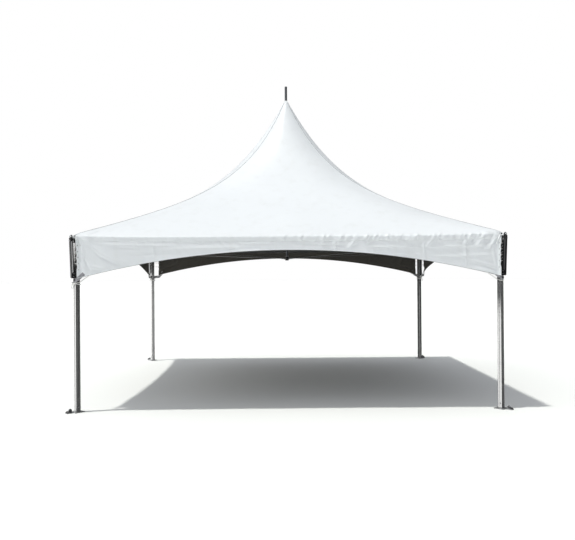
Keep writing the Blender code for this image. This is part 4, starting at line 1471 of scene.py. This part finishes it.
def cross_cable():
    """A laid wire rope, and its swaged ends and forks with a turnbuckle by the corner."""
    beam_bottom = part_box("eave_beam_front")[0].z
    start = Vector(CABLE_START)
    end = Vector((CABLE_END_X, 0, beam_bottom - CLEARANCE - CABLE_END_DOWN))
    along = (end - start).normalized()
    cable = Shape().tube(even_path([start, end], 0.006), CABLE_RADIUS, 12, CABLE_TWIST)
    fittings = Shape()
    swage = [(0.0003, 0), (0.0082, 0), (0.0090, 0.0012), (0.0090, 0.082), (0.0062, 0.090)]
    swage.append((0.0052, 0.090))
    for spot, way in ((start, along), (end, -along)):
        fittings.lathe(swage, 20, facing(spot, way))
        flat = Vector((way.x, way.y, 0)).normalized()
        for y in (-0.0085, 0.0085):
            middle = spot - flat * 0.010 + Vector((0, y, 0))
            fittings.block(FORK_SIZE, Matrix.Translation(middle), 0.0015)
        pin = facing(spot - flat * 0.024, (0, 1, 0))
        fittings.lathe([(0.0045, -0.014), (0.0045, 0.014)], 16, pin, 0.0003)
    back, half_length, half_width = TURNBUCKLE
    body = end - along * back
    for side in (Vector((0, -half_width, 0)), Vector((0, half_width, 0))):
        rod = [body + side - along * half_length, body + side + along * half_length]
        fittings.tube(rod, 0.0042)
    nut = [(0.0150, -0.008), (0.0160, 0.0), (0.0150, 0.008)]
    for shift in (-0.062, 0.062):
        fittings.lathe(nut, 20, facing(body + along * shift, along), 0.0052)
    return cable, fittings


def build_mast_trim(fabric, webbing, metal):
    """The fabric cuff at the peak, its drawn band and clamp, and the mast's stop collar."""
    cuff = Shape()
    profile = [(0.0315, 5.1560), (0.0290, 5.1600), (0.0272, 5.1680), (0.0262, 5.1800)]
    profile += [(0.0240, 5.1805), (0.0245, 5.1680), (0.0262, 5.1600)]
    cuff.lathe(profile, 40)
    cuff.faces = [face for face in cuff.faces if len(face) == 4]
    drawn = [(0.0266, 5.1640), (0.0286, 5.1650), (0.0282, 5.1760), (0.0260, 5.1770)]
    band = Shape().lathe(drawn, 40)
    band.block((0.012, 0.016, 0.011), Matrix.Translation((0.0, 0.0345, 5.1705)), 0.0015)
    collar = [(0.0290, 2.2755), (0.0300, 2.2770), (0.0300, 2.2900), (0.0290, 2.2915)]
    clamp = Shape().ring(0.0258, 0.0012, Matrix.Translation((0, 0, 5.1790)), 40)
    clamp.lathe(collar, 32, None, 0.0228)
    clamp.bolt(MAST_BOLT, facing((0.0295, 0, 2.2835), (1, 0, 0)))
    sewn = [add_shape("peak_cuff", cuff, 70, fabric)]
    sewn.append(add_shape("peak_band", band, 40, webbing))
    add_shape("mast_fittings", clamp, 35, metal)
    return sewn


def beam_bolts():
    """Bolts of both ends of an eave beam, on its inner and lower faces."""
    shape = Shape()
    low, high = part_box("eave_beam_right")
    middle = (low.z + high.z) / 2
    for hand in (-1, 1):
        for inset in BEAM_BOLTS:
            y = hand * (high.y - inset)
            shape.bolt(BOLT, facing((low.x, y, middle), (-1, 0, 0)))
            shape.bolt(BOLT, facing((HALF_SPAN, y, low.z), (0, 0, -1)))
    return shape


# Run

make_camera()
make_suns()
make_softboxes()
make_world()
make_floor()
bpy.context.scene.view_settings.view_transform = "Standard"

white_cloth = coated_fabric("canopy_white", (0.852, 0.880, 0.902), (0.60, 0.60, 0.57))
# A dark grey cloth that paints shade on the underside of each hem's rope
hem_painted_shade = coated_fabric("hem_painted_shade", (0.27, 0.28, 0.285), (0.15, 0.15, 0.14), 0.6, 0.0)
# Near-black warm grey for the inner faces of all the cloth: painted shade inside the tent
inner_painted_shade = coated_fabric("canopy_inner_painted_shade", (0.080, 0.074, 0.062), (0.050, 0.045, 0.036), 0.6, 0.0)
PALE, PALER = (0.32, 0.32, 0.315), (0.42, 0.42, 0.415)
leg_metal = extruded_metal("leg_metal", "Z", PALE, PALER, (0.12, 0.20))
beam_x_metal = extruded_metal("beam_x_metal", "X", PALE, PALER)
beam_y_metal = extruded_metal("beam_y_metal", "Y", PALE, PALER)
arm_metal = extruded_metal("arm_metal", "Z", (0.045, 0.045, 0.046), (0.085, 0.085, 0.088))
mast_metal = extruded_metal("mast_metal", "Z", (0.20, 0.215, 0.24), (0.34, 0.355, 0.38))
cable_steel = extruded_metal("cable_steel", "Z", (0.26, 0.26, 0.26), (0.42, 0.42, 0.42))
RAIL_FINISH = ((0.40, 0.60), 0.15)
bright_rail = extruded_metal("bright_metal", "Z", (0.50, 0.50, 0.50), (0.66, 0.66, 0.66), *RAIL_FINISH)
# A near-black copy of the rail finish: painted shade for the front right arm's rails
painted_shade_rail = extruded_metal("painted_shade_rail", "Z", (0.07, 0.07, 0.072), (0.11, 0.11, 0.114), *RAIL_FINISH)
zinc = galvanised_metal("zinc")
black_steel = dark_metal("black_steel")
casting = dark_metal("casting", (0.10, 0.10, 0.10), (0.30, 0.30, 0.30), 0.5)
rope_yarn = twisted_rope("rope_yarn", (0.74, 0.73, 0.71), (0.92, 0.92, 0.90))
grey_webbing = woven_band("grey_webbing", (0.29, 0.29, 0.31), (0.40, 0.40, 0.43))
seam_tape = woven_band("seam_tape", (0.34, 0.36, 0.37), (0.50, 0.52, 0.53))
white_webbing = woven_band("white_webbing", (0.70, 0.72, 0.73), (0.88, 0.90, 0.90))

# The finish of the nodes whose names start with each of these

NODE_FINISH = {
    "leg": leg_metal,
    "corner_arm": arm_metal,
    "base_plate": zinc,
    "anchor_shackle": black_steel,
    "arm_shoe": black_steel,
    "corner_bracket": casting,
    "mast_hub": casting,
    "crown_ring": casting,
    "cross_cable": cable_steel,
    "centre_mast": mast_metal,
    "hem_rope": rope_yarn,
    "eave_beam_front": beam_x_metal,
    "eave_beam_back": beam_x_metal,
    "eave_beam_left": beam_y_metal,
    "eave_beam_right": beam_y_metal,
}

for node_name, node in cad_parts.items():
    for start, finish in NODE_FINISH.items():
        if node_name.startswith(start):
            for node_slot in node.material_slots:
                node_slot.material = finish

canopy = build_canopy(white_cloth, inner_painted_shade)
for side_name in SIDES:
    hanging = build_hanging(side_name, white_cloth, inner_painted_shade)
    hem = build_hem(side_name, white_cloth, inner_painted_shade, hem_painted_shade)
    side_hems, eyelets = build_side_hems(side_name, white_cloth, zinc)
    place = turn_of(side_name)
    add_shape(f"beam_bolts_{side_name}", beam_bolts(), 35, zinc, place)

rails, arm_bolts = arm_trim()
wire_rope, cable_fittings = cross_cable()
sewn_on = []
for corner in CORNERS:
    # The front right arm's rails take the near-black copy, painted shade; the other arms keep the pale
    # finish
    rail_metal = painted_shade_rail if corner == "front_right" else bright_rail
    made = {}
    for name, shape, sharp, material, slot, replaced in (
        ("corner_lacing", corner_lacing(corner), 80, rope_yarn, "hem_rope", None),
        ("corner_tab", corner_tab(corner), 60, grey_webbing, "hem_rope", None),
        ("tab_buckle", tab_buckle(), 35, black_steel, "dark_steel", None),
        ("tied_rope", tied_rope(corner), 80, rope_yarn, "hem_rope", "hem_rope"),
        ("corner_strap", corner_strap(corner), 60, white_webbing, "canopy_fabric", None),
        ("corner_patch", corner_patch(corner), 80, white_cloth, "canopy_fabric", None),
        ("hip_seam", hip_seam(), 60, seam_tape, "canopy_fabric", None),
        ("arm_rails", rails, 35, rail_metal, "aluminium_profile", None),
        ("arm_bolts", arm_bolts, 35, zinc, "galvanised_steel", None),
        ("leg_bolts", leg_bolts(), 35, zinc, "galvanised_steel", None),
        ("weld_beads", weld_beads(), 60, zinc, "galvanised_steel", None),
        ("bow_shackle", bow_shackle(), 40, black_steel, "dark_steel", "anchor_shackle"),
        ("wire_rope", wire_rope, 80, cable_steel, "wire_rope", "cross_cable"),
        ("cable_fittings", cable_fittings, 35, zinc, "wire_rope", None),
    ):
        nodes = [f"{replaced}_{corner}"] if replaced else []
        place = corner_place(corner)
        made[name] = add_shape(f"{name}_{corner}", shape, sharp, material, place, nodes)
    thicken(made["corner_patch"], 0.0010, 0.0, 0)
    sewn_on += [made["corner_patch"], made["hip_seam"]]
sewn_on += build_mast_trim(white_cloth, white_webbing, zinc)
